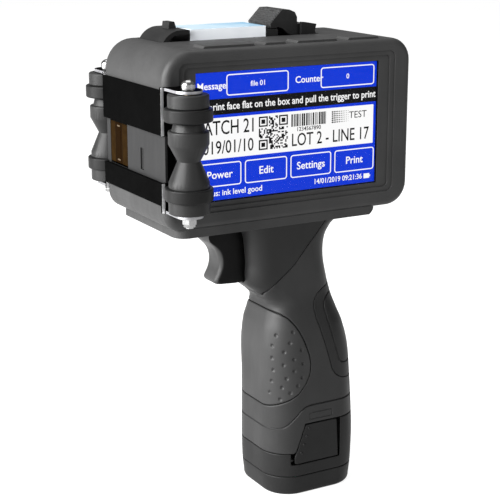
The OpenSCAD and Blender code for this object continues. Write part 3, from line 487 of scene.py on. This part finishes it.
def new_piece(name, points, faces, body, material, smooth_angle=40.0):
    """A mesh piece from points in metres, riding on a body and named after what it is."""
    mesh = bpy.data.meshes.new(name)
    mesh.from_pydata([tuple(p) for p in points], [], [tuple(f) for f in faces])
    mesh.validate()
    piece = bpy.data.objects.new(name, mesh)
    bpy.context.scene.collection.objects.link(piece)
    mesh.materials.append(material)
    soften(mesh, smooth_angle)
    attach(piece, body)
    return piece


def soften(mesh, angle):
    mesh.polygons.foreach_set("use_smooth", [True] * len(mesh.polygons))
    mesh.set_sharp_from_angle(angle=math.radians(angle))


def face_outwards(piece):
    """Turns every face of a closed piece outwards."""
    mesh = bmesh.new()
    mesh.from_mesh(piece.data)
    bmesh.ops.recalc_face_normals(mesh, faces=mesh.faces)
    mesh.to_mesh(piece.data)
    mesh.free()


def apply_modifiers(piece):
    evaluated = piece.evaluated_get(bpy.context.evaluated_depsgraph_get())
    mesh = bpy.data.meshes.new_from_object(evaluated)
    piece.modifiers.clear()
    piece.data = mesh


def finish_cad(node, material, edge_mm):
    """Joins a CAD node's coplanar triangles and gives its sharp edges a fine round."""
    piece = NODES[node]
    piece.data.materials.clear()
    piece.data.materials.append(material)
    if "custom_normal" in piece.data.attributes:
        piece.data.attributes.remove(piece.data.attributes["custom_normal"])
    piece.data.polygons.foreach_set("use_smooth", [True] * len(piece.data.polygons))
    weld = piece.modifiers.new("weld", "WELD")
    weld.merge_threshold = 2e-6
    flat = piece.modifiers.new("flat", "DECIMATE")
    flat.decimate_type = "DISSOLVE"
    flat.angle_limit = math.radians(0.4)
    bevel = piece.modifiers.new("edges", "BEVEL")
    bevel.width = edge_mm * MM
    bevel.segments = 2
    bevel.limit_method = "ANGLE"
    bevel.angle_limit = math.radians(32)
    bevel.use_clamp_overlap = True
    normal = piece.modifiers.new("normals", "WEIGHTED_NORMAL")
    normal.keep_sharp = True


# ---------------------------------------------------------------- handle surface

def slope(i, k):
    if i in (0, len(HANDLE_ROWS) - 1):
        return 0.0
    return (HANDLE_ROWS[i + 1][k] - HANDLE_ROWS[i - 1][k]) / (HANDLE_ROWS[i + 1][0] - HANDLE_ROWS[i - 1][0])


def row_value(z, k):
    """A column of the handle's sections at a height, on a smooth cubic through the rows."""
    i = max(0, min(len(HANDLE_ROWS) - 2, sum(row[0] <= z for row in HANDLE_ROWS) - 1))
    low, high = HANDLE_ROWS[i], HANDLE_ROWS[i + 1]
    span = high[0] - low[0]
    t = (z - low[0]) / span
    return ((2 * t**3 - 3 * t**2 + 1) * low[k] + (t**3 - 2 * t**2 + t) * slope(i, k) * span
            + (3 * t**2 - 2 * t**3) * high[k] + (t**3 - t**2) * slope(i + 1, k) * span)


def base_round(z):
    return BASE_EDGE - math.sqrt(BASE_EDGE**2 - (BASE_EDGE - z)**2) if z < BASE_EDGE else 0.0


def section(z, pitch):
    """One ring of the handle: points and outward directions, anticlockwise, about pitch apart."""
    drawn_in = base_round(z)
    front = row_value(z, 1) + drawn_in
    rear = row_value(z, 2) - drawn_in
    half = row_value(z, 3) - drawn_in
    r = row_value(z, 4) - drawn_in
    corners = [(rear - r, half - r), (front + r, half - r), (front + r, r - half), (rear - r, r - half)]
    arc_steps = round(16 * math.pi / 2 / pitch)
    flat_steps = (round(25 / pitch), round(18 / pitch))
    ring = []
    for quarter, (cx, cy) in enumerate(corners):
        for k in range(arc_steps + 1):
            a = math.radians(90 * (quarter + k / arc_steps))
            out = Vector((math.cos(a), math.sin(a), 0))
            ring.append((Vector((cx, cy, z)) + r * out, out))
        here, out = ring[-1]
        nx, ny = corners[(quarter + 1) % 4]
        a = math.radians(90 * (quarter + 1))
        there = Vector((nx + r * math.cos(a), ny + r * math.sin(a), z))
        steps = flat_steps[quarter % 2]
        ring += [(here.lerp(there, k / steps), out) for k in range(1, steps)]
    return ring


SNAP = 0.01


class Skin:
    """A patch of the handle's surface in millimetres, which can be cut along any field and given relief."""

    def __init__(self, heights, pitch):
        rings = [section(z, pitch) for z in heights]
        n = len(rings[0])
        self.points = [p for ring in rings for p, _ in ring]
        self.normals = self._normals(rings, heights, n)
        self.faces = [[i * n + j, i * n + (j + 1) % n, (i + 1) * n + (j + 1) % n, (i + 1) * n + j]
                      for i in range(len(rings) - 1) for j in range(n)]
        self.ring_size = n
        self.rounds = []
        self.grooves = []
        self.pits = []

    @staticmethod
    def _normals(rings, heights, n):
        normals = []
        for i, ring in enumerate(rings):
            low, high = rings[max(0, i - 1)], rings[min(len(rings) - 1, i + 1)]
            for j in range(n):
                rise = high[j][0] - low[j][0]
                out = ring[j][1]
                along = Vector((-out.y, out.x, 0))
                normals.append(along.cross(rise).normalized())
        return normals

    def values(self, field):
        return field(np.array([tuple(p) for p in self.points]))

    def cut(self, field, level=0.0, drop=True):
        """Splits faces along field = level; the side below it goes when drop is True."""
        value = list(self.values(field) - level)
        value = [0.0 if abs(v) < SNAP else v for v in value]
        made = {}

        def crossing(a, b):
            key = (min(a, b), max(a, b))
            if key not in made:
                t = value[a] / (value[a] - value[b])
                made[key] = len(self.points)
                self.points.append(self.points[a].lerp(self.points[b], t))
                self.normals.append(self.normals[a].lerp(self.normals[b], t).normalized())
                value.append(0.0)
            return made[key]

        kept = []
        for face in self.faces:
            if min(value[i] for i in face) >= 0:
                kept.append(face)
                continue
            if max(value[i] for i in face) <= 0:
                if not drop:
                    kept.append(face)
                continue
            above, below = [], []
            for a, b in zip(face, face[1:] + face[:1]):
                if value[a] >= 0:
                    above.append(a)
                if value[a] <= 0:
                    below.append(a)
                if value[a] * value[b] < 0:
                    cross = crossing(a, b)
                    above.append(cross)
                    below.append(cross)
            kept += [side for side in (above, [] if drop else below) if len(side) > 2]
        self.faces = kept

    def edge(self, field, gap=0.15, r=0.55):
        """Trims the patch to where the field is over the gap, with its rim rounded off to radius r."""
        self.cut(field, gap)
        for share in (0.08, 0.3, 0.62, 1.0):
            self.cut(field, gap + r * share, drop=False)
        self.rounds.append((field, gap, r))

    def groove(self, field, half=0.45, depth=0.5):
        """A line scored along field = 0."""
        for share in (-1.0, -0.5, 0.0, 0.5, 1.0):
            self.cut(field, half * share, drop=False)
        self.grooves.append((field, half, depth))

    def dents(self, centres, r=1.25, depth=0.75):
        places = np.array([tuple(c) for c in centres])

        def field(points):
            gaps = points[:, None, :] - places[None, :, :]
            return np.sqrt((gaps**2).sum(axis=2)).min(axis=1)

        for share in (0.3, 0.65, 1.0):
            self.cut(field, r * share, drop=False)
        self.pits.append((field, r, depth))

    def sink(self, depth):
        """Moves the whole patch in along its normals."""
        self.points = [p - n * depth for p, n in zip(self.points, self.normals)]

    def relief(self):
        """Moves the points along their normals by the rounds, grooves and dents asked for."""
        sink = np.zeros(len(self.points))
        for field, gap, r in self.rounds:
            inside = np.clip(self.values(field) - gap, 0, r)
            sink = np.maximum(sink, r - np.sqrt(np.maximum(0, r**2 - (r - inside)**2)))
        for field, half, depth in self.grooves:
            off = np.clip(np.abs(self.values(field)) / half, 0, 1)
            sink += depth * (1 - off**2)
        for field, r, depth in self.pits:
            off = np.clip(self.values(field) / r, 0, 1)
            sink += depth * (1 - off**2)
        self.points = [p - n * s for p, n, s in zip(self.points, self.normals, sink)]

    def piece(self, name, body, material, slot, thickness):
        """The patch with its relief, closed into a wall of a thickness on its inner side."""
        self.relief()
        used = sorted({i for face in self.faces for i in face})
        index = {old: new for new, old in enumerate(used)}
        points = metres([self.points[i] for i in used])
        faces = [[index[i] for i in face] for face in self.faces]
        piece = new_piece(name, points, faces, body, material, 55)
        mesh = bmesh.new()
        mesh.from_mesh(piece.data)
        bmesh.ops.remove_doubles(mesh, verts=mesh.verts, dist=2e-6)
        bmesh.ops.dissolve_degenerate(mesh, dist=2e-6, edges=mesh.edges)
        mesh.to_mesh(piece.data)
        mesh.free()
        wall = piece.modifiers.new("wall", "SOLIDIFY")
        wall.thickness = thickness * MM
        wall.offset = -1
        wall.use_even_offset = True
        wall.use_quality_normals = True
        apply_modifiers(piece)
        soften(piece.data, 50)
        return piece


def outline_field(outline):
    """Signed distance in X and Z from a closed outline, positive inside."""
    start = np.array(outline, float)
    end = np.roll(start, -1, axis=0)

    def field(points):
        p = points[:, [0, 2]][:, None, :]
        run = end - start
        t = np.clip(((p - start) * run).sum(axis=2) / (run**2).sum(axis=1), 0, 1)
        gap = p - start - t[:, :, None] * run
        distance = np.sqrt((gap**2).sum(axis=2)).min(axis=1)
        x, z = p[:, :, 0], p[:, :, 1]
        crosses = (start[:, 1] > z) != (end[:, 1] > z)
        rise = np.where(end[:, 1] == start[:, 1], 1e-9, end[:, 1] - start[:, 1])
        left = x < start[:, 0] + (z - start[:, 1]) / rise * (end[:, 0] - start[:, 0])
        inside = (crosses & left).sum(axis=1) % 2 == 1
        return np.where(inside, distance, -distance)

    return field


def outside(field):
    return lambda points: -field(points)


def side_field(side):
    return lambda points: side * points[:, 1]


def height_field(z, way):
    return lambda points: way * (points[:, 2] - z)


def trigger_opening(points):
    """Positive outside the rounded opening in the neck's front."""
    half_y, low, high, r = 8.6, 123.6, 154.2, 4.5
    middle, half_z = (low + high) / 2, (high - low) / 2
    dy = np.abs(points[:, 1]) - (half_y - r)
    dz = np.abs(points[:, 2] - middle) - (half_z - r)
    distance = np.hypot(np.maximum(dy, 0), np.maximum(dz, 0)) + np.minimum(np.maximum(dy, dz), 0) - r
    return np.maximum(distance, points[:, 0] + 22)


def steps_between(low, high, pitch):
    count = math.ceil((high - low) / pitch)
    return [low + (high - low) * i / count for i in range(count + 1)]


def dent_centres():
    """The scattered dents of the front grip, mirrored onto both of its sides."""
    centres = []
    for x, z in DENTS:
        front, half, r = row_value(z, 1), row_value(z, 3), row_value(z, 4)
        turn = math.asin(min(1, max(0, (front + r - x) / r)))
        y = half - r + r * math.cos(turn)
        centres += [Vector((x, y, z)), Vector((x, -y, z))]
    return centres


def make_handle(materials):
    neck = outline_field(NECK_REGION)
    battery = outline_field(BATTERY_REGION)
    front = outline_field(FRONT_GRIP)
    rear = outline_field(REAR_GRIP)
    ridge = outline_field(REAR_RIDGE)
    belt = outline_field(BELT_REGION)
    plate = outline_field(PLATE_RECT)

    shroud = Skin(steps_between(111, NECK_TOP, 1.4), 1.4)
    shroud.edge(neck)
    shroud.edge(trigger_opening, 0.0, 0.8)
    neck_plastic = moulded("neck_abs", grey(0.0085), 0.48, specular=0.14)
    piece = shroud.piece("neck_shroud_skin", "printer", neck_plastic, "handle_abs", 2.4)
    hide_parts("neck_shroud")

    for name, side in (("near", -1), ("far", 1)):
        shell = Skin(steps_between(SKIRT_Z, NECK_TOP, 1.4), 1.4)
        shell.cut(side_field(side), 0.03)
        shell.edge(outside(neck))
        shell.edge(outside(battery), 0.0)
        shell.edge(outside(front), 0.2)
        shell.edge(outside(rear), 0.12, 0.4)
        shell.groove(belt, 0.6, 0.75)
        shell.groove(plate, 0.4, 0.35)
        piece = shell.piece(f"handle_{name}_skin", "printer", materials["handle_abs"], "handle_abs", 2.3)
        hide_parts(f"handle_{name}_shell")
        lining = Skin(steps_between(LINING_Z[0], LINING_Z[1], 2.0), 2.0)
        lining.cut(side_field(side), 0.03)
        lining.cut(trigger_opening, TRIGGER_ROOM)
        lining.sink(LINING_DEPTH)
        piece = lining.piece(f"handle_{name}_lining", "printer", materials["black_abs"], "handle_abs", 0.5)
        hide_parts(f"handle_{name}_shell")

    grip = Skin(steps_between(51, 110, 0.62), 0.62)
    grip.edge(front, 0.2, 0.7)
    grip.dents(dent_centres())
    piece = grip.piece("front_grip_skin", "printer", materials["grip_rubber"], "grip_rubber", 1.1)
    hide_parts("front_grip")

    grip = Skin(steps_between(62, 122, 1.2), 1.2)
    grip.edge(rear, 0.12, 0.4)
    grip.groove(ridge, 0.6, 0.6)
    dark_rubber = moulded("dark_rubber", grey(0.006), 0.5, 0.35, 0.3, 0.3)
    piece = grip.piece("rear_grip_skin", "printer", dark_rubber, "grip_rubber", 1.1)
    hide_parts("rear_grip")


def make_battery(materials):
    material = materials["battery_abs"]
    battery = outline_field([(x, z - 0.35) for x, z in BATTERY_REGION])
    case = Skin(steps_between(CAP_SEAM_Z, SHOULDER_Z, 1.2), 1.3)
    case.edge(height_field(CAP_SEAM_Z, 1))
    case.edge(battery, 0.0)
    case.edge(outside(outline_field(TAB_ROOM)), 0.0, 0.35)
    piece = case.piece("battery_skirt", "battery", material, "battery_abs", 4.2)
    stick = stick_piece(materials)
    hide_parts("battery_case")
    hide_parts("battery_case")

    heights = [BASE_EDGE * (1 - math.cos(math.radians(90 * i / 6))) for i in range(7)]
    cap = Skin(heights + steps_between(BASE_EDGE + 1.2, CAP_SEAM_Z, 1.2), 1.3)
    cap.edge(height_field(CAP_SEAM_Z, -1))
    cap.faces.append(list(range(cap.ring_size - 1, -1, -1)))
    piece = cap.piece("battery_foot", "battery", material, "battery_abs", 2.2)
    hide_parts("battery_base_cap")

    outline = outline_field(TAB_OUTLINE)
    for name, side in (("near", -1), ("far", 1)):
        tab = Skin(steps_between(18, SHOULDER_Z, 0.9), 1.0)
        tab.cut(side_field(side), 12)
        tab.edge(outline, 0.0, 0.35)
        piece = tab.piece(f"{name}_tab_skin", f"{name}_tab", material, "battery_abs", TAB_T)
        dots = dome_piece(f"{name}_tab_dots", side, f"{name}_tab", material)
        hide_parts(f"{name}_release_tab")
        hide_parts(f"{name}_release_tab")


def dome_piece(name, side, body, material):
    """A row of small pips along the tab's slanted edge."""
    points, faces = [], []
    r, rings, turns = 1.0, 4, 12
    for x, z in TAB_DOTS:
        base = len(points)
        y = row_value(z, 3) - 0.25
        for i in range(rings):
            lift = math.radians(90 * i / rings)
            for j in range(turns):
                a = 2 * math.pi * j / turns
                points.append((x + r * math.cos(lift) * math.cos(a), side * (y + r * math.sin(lift) * 0.8),
                               z + r * math.cos(lift) * math.sin(a)))
        points.append((x, side * (y + r * 0.8), z))
        top = len(points) - 1
        for i in range(rings - 1):
            for j in range(turns):
                k = (j + 1) % turns
                faces.append((base + i * turns + j, base + i * turns + k,
                              base + (i + 1) * turns + k, base + (i + 1) * turns + j))
        last = base + (rings - 1) * turns
        faces += [(last + j, last + (j + 1) % turns, top) for j in range(turns)]
        faces.append(tuple(base + j for j in reversed(range(turns))))
    if side > 0:
        faces = [tuple(reversed(face)) for face in faces]
    return new_piece(name, metres(points), faces, body, material)


def prism(name, outline, low, high, plane, body, material, edge_mm=0.0):
    """A closed prism of an outline in mm: plane xz runs along Y, plane xy along Z and plane yz along X."""
    n = len(outline)
    place = {"xz": lambda p, h: (p[0], h, p[1]), "xy": lambda p, h: (p[0], p[1], h),
             "yz": lambda p, h: (h, p[0], p[1])}[plane]
    points = [place(p, low) for p in outline] + [place(p, high) for p in outline]
    faces = [tuple(range(n)), tuple(range(2 * n - 1, n - 1, -1))]
    faces += [(i, i + n, (i + 1) % n + n, (i + 1) % n) for i in range(n)]
    piece = new_piece(name, metres(points), faces, body, material)
    face_outwards(piece)
    if edge_mm:
        bevel = piece.modifiers.new("edges", "BEVEL")
        bevel.width = edge_mm * MM
        bevel.segments = 3
        bevel.limit_method = "ANGLE"
        bevel.angle_limit = math.radians(40)
        apply_modifiers(piece)
        soften(piece.data, 35)
    return piece


def arc_points(centre, r, first, last, count):
    turns = [math.radians(first + (last - first) * k / count) for k in range(count + 1)]
    return [(centre[0] + r * math.cos(a), centre[1] + r * math.sin(a)) for a in turns]


def rounded(low, high, r, steps=6):
    """Points of a rounded rectangle, anticlockwise."""
    right, left = high[0] - r, low[0] + r
    top, bottom = high[1] - r, low[1] + r
    corners = [(right, top), (left, top), (left, bottom), (right, bottom)]
    arcs = [arc_points(corner, r, 90 * i, 90 * i + 90, steps) for i, corner in enumerate(corners)]
    return [point for arc in arcs for point in arc]


def carve(piece, outline, low, high, plane):
    """Cuts a prism out of a piece."""
    cutter = prism("cutter", outline, low, high, plane, "printer", bpy.data.materials[0])
    cut = piece.modifiers.new("cut", "BOOLEAN")
    cut.operation = "DIFFERENCE"
    cut.solver = "EXACT"
    cut.object = cutter
    apply_modifiers(piece)
    bpy.data.objects.remove(cutter)


def stick_piece(materials):
    """The battery's tower, with slots in its top for the terminals."""
    outline = rounded((STICK_X[0], -STICK_HALF), (STICK_X[1], STICK_HALF), 9, 12)
    material = materials["battery_abs"]
    stick = prism("battery_stick", outline, 12, STICK_TOP, "xy", "battery", material, 0.8)
    for x in BLADE_X:
        carve(stick, rounded((x - 3.05, -0.5), (x + 3.05, 0.5), 0.2, 2), STICK_TOP - 4, STICK_TOP + 1, "xy")
    for y in (-8, 8):
        carve(stick, rounded((-12, y - 1), (14, y + 1), 0.9, 4), STICK_TOP - 1.2, STICK_TOP + 1, "xy")
    soften(stick.data, 35)
    return stick


# ---------------------------------------------------------------- trigger

TRIGGER_HALF = 8.0
TRIGGER_EDGE = 3.2
TRIGGER_ROLL = 2.0
SCOOP_CENTRE = (-66, 137.3)
SCOOP_R = 13.0
TIP_CENTRE = (-54.6, 127.4)
TIP_R = 2.5
TRIGGER_TOP = 153.5
TRIGGER_REAR = -28.0
STEM_Z = 137.0
STEM_R = 2.4
SPRING_POCKET_R = 5.4
SPRING_POCKET_X = -35.2


def evenly(points, pitch):
    """A closed outline with a point about every pitch."""
    result = []
    for a, b in zip(points, points[1:] + points[:1]):
        steps = max(1, round(math.dist(a, b) / pitch))
        run = (b[0] - a[0], b[1] - a[1])
        result += [(a[0] + run[0] * k / steps, a[1] + run[1] * k / steps) for k in range(steps)]
    return result


def relaxed(points, rounds, moves):
    """Evens out the corners of a closed outline where moves says so."""
    for _ in range(rounds):
        trios = zip(points[-1:] + points[:-1], points, points[1:] + points[:1])
        points = [((a[0] + 2 * p[0] + b[0]) / 4, (a[1] + 2 * p[1] + b[1]) / 4) if moves(p) else p
                  for a, p, b in trios]
    return points


def drawn_in(points, distance, share):
    """A closed counterclockwise outline moved inwards by a share of a distance that varies along it."""
    result = []
    for i, p in enumerate(points):
        a, b = points[i - 1], points[(i + 1) % len(points)]
        dx, dz = b[0] - a[0], b[1] - a[1]
        move = distance * share(p) / math.hypot(dx, dz)
        result.append((p[0] - dz * move, p[1] + dx * move))
    return result


def finger_share(p):
    """1 on the part of the trigger a finger meets, 0 where it runs into the handle."""
    behind = min(1.0, max(0.0, (-38 - p[0]) / 10))
    below = min(1.0, max(0.0, (151 - p[1]) / 8))
    return behind * below


def make_trigger(materials):
    """The finger lever, with its scooped face rolled over into both sides."""
    outline = [(-60.5, TRIGGER_TOP)] + arc_points(SCOOP_CENTRE, SCOOP_R, 65, -42, 24)
    outline += arc_points(TIP_CENTRE, TIP_R, 172, 270, 6)
    outline += [(-44, 124.3), (TRIGGER_REAR, 126.6), (TRIGGER_REAR, TRIGGER_TOP)]
    outline = relaxed(evenly(outline, 0.7), 12, lambda p: p[0] < -40 and p[1] < 152)
    turns = [math.radians(90 * k / 8) for k in range(9)]
    levels = [(TRIGGER_EDGE * (1 - math.cos(a)) - TRIGGER_HALF, TRIGGER_ROLL * (1 - math.sin(a)))
              for a in turns]
    levels += [(-y, inset) for y, inset in reversed(levels)]
    n = len(outline)
    rings = [drawn_in(outline, inset, finger_share) for _, inset in levels]
    points = [(x, y, z) for ring, (y, _) in zip(rings, levels) for x, z in ring]
    faces = [tuple(range(n)), tuple(range(len(points) - 1, len(points) - n - 1, -1))]
    faces += [(i * n + j, (i + 1) * n + j, (i + 1) * n + (j + 1) % n, i * n + (j + 1) % n)
              for i in range(len(levels) - 1) for j in range(n)]
    material = materials["trigger_abs"]
    piece = new_piece("trigger_lever", metres(points), faces, "trigger", material, 50)
    face_outwards(piece)
    pocket = arc_points((0, STEM_Z), SPRING_POCKET_R, 0, 345, 23)
    carve(piece, pocket, SPRING_POCKET_X, TRIGGER_REAR + 1, "yz")
    stem = arc_points((0, STEM_Z), STEM_R, 0, 345, 23)
    root_x = SPRING_POCKET_X - 0.1
    rod = prism("trigger_rod", stem, root_x, -19, "yz", "trigger", material, 0.3)
    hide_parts("trigger")
    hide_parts("trigger")


# ---------------------------------------------------------------- display

DISPLAY_W = 108.0
DISPLAY_H = 64.8
DISPLAY_LEFT = -80.4
DISPLAY_TOP = 243.4
GLASS_FRONT = -33.95
MARK_FRONT = -33.35
FIELD_FRONT = -33.25
BACK_FRONT = -33.1
BACK_REAR = -32.45


def screen(across, down):
    """A place on the display from fractions of its width and height, counted from the top left."""
    return DISPLAY_LEFT + across * DISPLAY_W, DISPLAY_TOP - down * DISPLAY_H


def screen_rect(left, top, right, bottom, r=0.4):
    x0, z1 = screen(left, top)
    x1, z0 = screen(right, bottom)
    return rounded((x0, z0), (x1, z1), r, 5)


class Marks:
    """Flat marks on the display, gathered into one thin mesh of one colour."""

    def __init__(self):
        self.points = []
        self.faces = []

    def solid(self, outline, front, rear):
        base, n = len(self.points), len(outline)
        self.points += [(x, front, z) for x, z in outline] + [(x, rear, z) for x, z in outline]
        self.faces += [tuple(base + i for i in range(n)), tuple(base + n + i for i in reversed(range(n)))]
        self.faces += [(base + i, base + n + i, base + n + (i + 1) % n, base + (i + 1) % n)
                       for i in range(n)]

    def frame(self, outer, inner, front, rear):
        """A closed band between two outlines with the same number of points."""
        base, n = len(self.points), len(outer)
        for ring in (outer, inner):
            self.points += [(x, front, z) for x, z in ring] + [(x, rear, z) for x, z in ring]
        for i in range(n):
            k = (i + 1) % n
            a, b, c, d = base, base + n, base + 2 * n, base + 3 * n
            self.faces += [(a + i, a + k, c + k, c + i), (b + k, b + i, d + i, d + k),
                           (a + k, a + i, b + i, b + k), (c + i, c + k, d + k, d + i)]

    def box_outline(self, left, top, right, bottom, r=1.6, line=0.55):
        x0, z1 = screen(left, top)
        x1, z0 = screen(right, bottom)
        inner = rounded((x0 + line, z0 + line), (x1 - line, z1 - line), r - line, 5)
        self.frame(rounded((x0, z0), (x1, z1), r, 5), inner, MARK_FRONT, FIELD_FRONT)

    def text(self, words, across, down, size, align="CENTER", stretch=1.0, bold=0.012):
        """Words in the built-in font, centred on a height."""
        curve = bpy.data.curves.new("words", "FONT")
        curve.body = words
        curve.size = size
        curve.align_x = align
        curve.align_y = "CENTER"
        curve.resolution_u = 3
        curve.offset = bold * size
        holder = bpy.data.objects.new("words", curve)
        bpy.context.scene.collection.objects.link(holder)
        mesh = bpy.data.meshes.new_from_object(holder.evaluated_get(bpy.context.evaluated_depsgraph_get()))
        x0, z0 = screen(across, down)
        flat = bmesh.new()
        flat.from_mesh(mesh)
        sides = bmesh.ops.extrude_face_region(flat, geom=flat.faces[:])
        moved = [v for v in sides["geom"] if isinstance(v, bmesh.types.BMVert)]
        bmesh.ops.translate(flat, vec=(0, 0, -0.06), verts=moved)
        bmesh.ops.recalc_face_normals(flat, faces=flat.faces)
        base = len(self.points)
        flat.verts.index_update()
        self.points += [(x0 + v.co.x * stretch, MARK_FRONT - v.co.z, z0 + v.co.y) for v in flat.verts]
        self.faces += [tuple(base + v.index for v in face.verts) for face in flat.faces]
        flat.free()
        bpy.data.objects.remove(holder)

    def piece(self, name, material, slot):
        piece = new_piece(name, metres(self.points), self.faces, "printer", material)
        face_outwards(piece)
        return piece


def code_square(marks, left, top, size, cells, seed):
    """A made-up square code: three corner targets and random cells, which reads as nothing."""
    dice = random.Random(seed)
    x0, z1 = screen(left, top)
    step = size / cells

    def cell(i, j, wide=1, tall=1):
        low = (x0 + i * step, z1 - (j + tall) * step)
        high = (x0 + (i + wide) * step, z1 - j * step)
        marks.solid([low, (high[0], low[1]), high, (low[0], high[1])], MARK_FRONT, FIELD_FRONT)

    targets = [(0, 0), (cells - 7, 0), (0, cells - 7)]
    for i, j in targets:
        cell(i, j, 7, 1)
        cell(i, j + 6, 7, 1)
        cell(i, j + 1, 1, 5)
        cell(i + 6, j + 1, 1, 5)
        cell(i + 2, j + 2, 3, 3)
    for i in range(cells):
        for j in range(cells):
            near_target = any(ti - 1 <= i <= ti + 7 and tj - 1 <= j <= tj + 7 for ti, tj in targets)
            if not near_target and dice.random() < 0.48:
                cell(i, j)


def bar_code(marks, left, top, right, bottom, seed):
    dice = random.Random(seed)
    x, z1 = screen(left, top)
    end, z0 = screen(right, bottom)
    while x < end:
        wide = 0.28 * dice.choice((1, 1, 2, 3))
        marks.solid([(x, z0), (x + wide, z0), (x + wide, z1), (x, z1)], MARK_FRONT, FIELD_FRONT)
        x += wide + 0.3 * dice.choice((1, 1, 2))


def dot_swatch(marks, left, top, columns):
    """A plain halftone patch: rows of round dots that shrink to the right."""
    x0, z0 = screen(left, top)
    for i in range(columns):
        r = 0.48 - 0.035 * i
        for j in range(6):
            x, z = x0 + 1.1 * i, z0 - 1.1 * j
            marks.solid(arc_points((x, z), r, 0, 300, 5), MARK_FRONT, FIELD_FRONT)


def make_display(materials):
    blue = panel_material("screen_blue", (0.0, 0.036, 0.7), 1.0)
    white = panel_material("screen_white", (1.0, 1.0, 1.0), 1.0)
    black = panel_material("screen_black", (0.0, 0.0, 0.004), 0.1)
    low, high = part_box("display_glass")
    x0, x1, z0, z1 = low[0] / MM, high[0] / MM, low[2] / MM, high[2] / MM
    sheet = rounded((x0, z0), (x1, z1), 1.0, 5)
    glass = prism("cover_glass", sheet, GLASS_FRONT, GLASS_FRONT + 0.4, "xz", "printer",
                  materials["display_glass"], 0.12)
    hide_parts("display_glass")

    whole = screen_rect(0, 0, 1, 1, 0.3)
    preview = screen_rect(0.0, 0.352, 0.985, 0.672, 0.3)
    ticker = screen_rect(0.0, 0.205, 1.0, 0.328, 0.3)
    prism("screen_background", whole, BACK_FRONT, BACK_REAR, "xz", "printer", blue)
    prism("screen_preview", preview, FIELD_FRONT, BACK_FRONT, "xz", "printer", white)
    prism("screen_ticker", ticker, FIELD_FRONT, BACK_FRONT, "xz", "printer", black)
    bezel = moulded("screen_border", (0.006, 0.006, 0.007), 0.25, 1.0, 0.02, 0.1)
    edge = Marks()
    outer = rounded((x0 + 0.2, z0 + 0.2), (x1 - 0.2, z1 - 0.2), 1.0, 5)
    edge.frame(outer, screen_rect(-0.001, -0.001, 1.001, 1.001, 0.3), BACK_FRONT, BACK_REAR)
    edge.piece("screen_border", bezel, "lcd_blue")

    light = Marks()
    light.box_outline(0.16, 0.02, 0.495, 0.185)
    light.box_outline(0.675, 0.02, 0.985, 0.185)
    button_pitch = 0.2515
    for i in range(4):
        left = 0.006 + i * button_pitch
        light.box_outline(left, 0.705, left + 0.232, 0.892)
    heading_size, field_size = 4.9, 3.7
    light.text("Message", 0.083, 0.105, heading_size)
    light.text("file 01", 0.33, 0.105, field_size)
    light.text("Counter", 0.61, 0.105, heading_size)
    light.text("0", 0.83, 0.105, field_size)
    hint = "Hold the print face flat on the box and pull the trigger to print"
    light.text(hint, 0.995, 0.267, 5.2, "RIGHT", 0.9)
    for i, word in enumerate(("Power", "Edit", "Settings", "Print")):
        light.text(word, 0.122 + i * button_pitch, 0.8, 5.6)
    light.text("Status: ink level good", 0.02, 0.945, 4.2, "LEFT")
    light.text("14/01/2019 09:21:36", 0.925, 0.945, 3.9, "RIGHT", 0.95)
    x, z = screen(0.935, 0.925)
    for left, right, top, bottom in ((0, 3.6, 0, 2.6), (3.75, 4.2, 0.8, 1.8)):
        cell = [(x + left, z - bottom), (x + right, z - bottom), (x + right, z - top), (x + left, z - top)]
        light.solid(cell, MARK_FRONT, FIELD_FRONT)
    light.piece("screen_light_marks", white, "lcd_blue")

    dark = Marks()
    dark.text("BATCH 21", 0.0, 0.435, 10.2, "LEFT", 0.74, 0.006)
    dark.text("2019/01/10", 0.0, 0.588, 9.4, "LEFT", 0.77, 0.006)
    code_square(dark, 0.333, 0.372, 17.2, 23, 4)
    bar_code(dark, 0.512, 0.375, 0.712, 0.475, 9)
    dark.text("1234567890", 0.61, 0.5, 3.0)
    dot_swatch(dark, 0.745, 0.385, 10)
    dark.text("TEST", 0.945, 0.425, 5.2, "RIGHT", 1.0, 0.0)
    dark.text("LOT 2 - LINE 17", 0.512, 0.588, 9.4, "LEFT", 0.75, 0.006)
    dark.piece("screen_dark_marks", black, "lcd_blue")


# ---------------------------------------------------------------- assembly

EDGE_MM = {
    "head_housing": 0.5, "back_cover": 0.5, "roller_bracket": 0.12, "head_plate": 0.2,
    "latch_lever": 0.5, "cartridge_stall": 0.3, "ink_cartridge": 0.5, "cartridge_label": 0.05,
    "nozzle_flex": 0.05, "nozzle_plate": 0.02, "trigger_spring": 0.02, "power_button": 0.4,
}
USUAL_EDGE_MM = 0.2

add_camera()
add_studio()
materials = make_materials()
dark_steel = machined("dark_steel", grey(0.03), 0.45)
materials_by_node = {"latch_lever": latch_material(), "release_tab_pins": dark_steel}
for node, slot in SLOTS.items():
    finish_cad(node, materials_by_node.get(node, materials[slot]), EDGE_MM.get(node, USUAL_EDGE_MM))
make_handle(materials)
make_battery(materials)
make_trigger(materials)
make_display(materials)
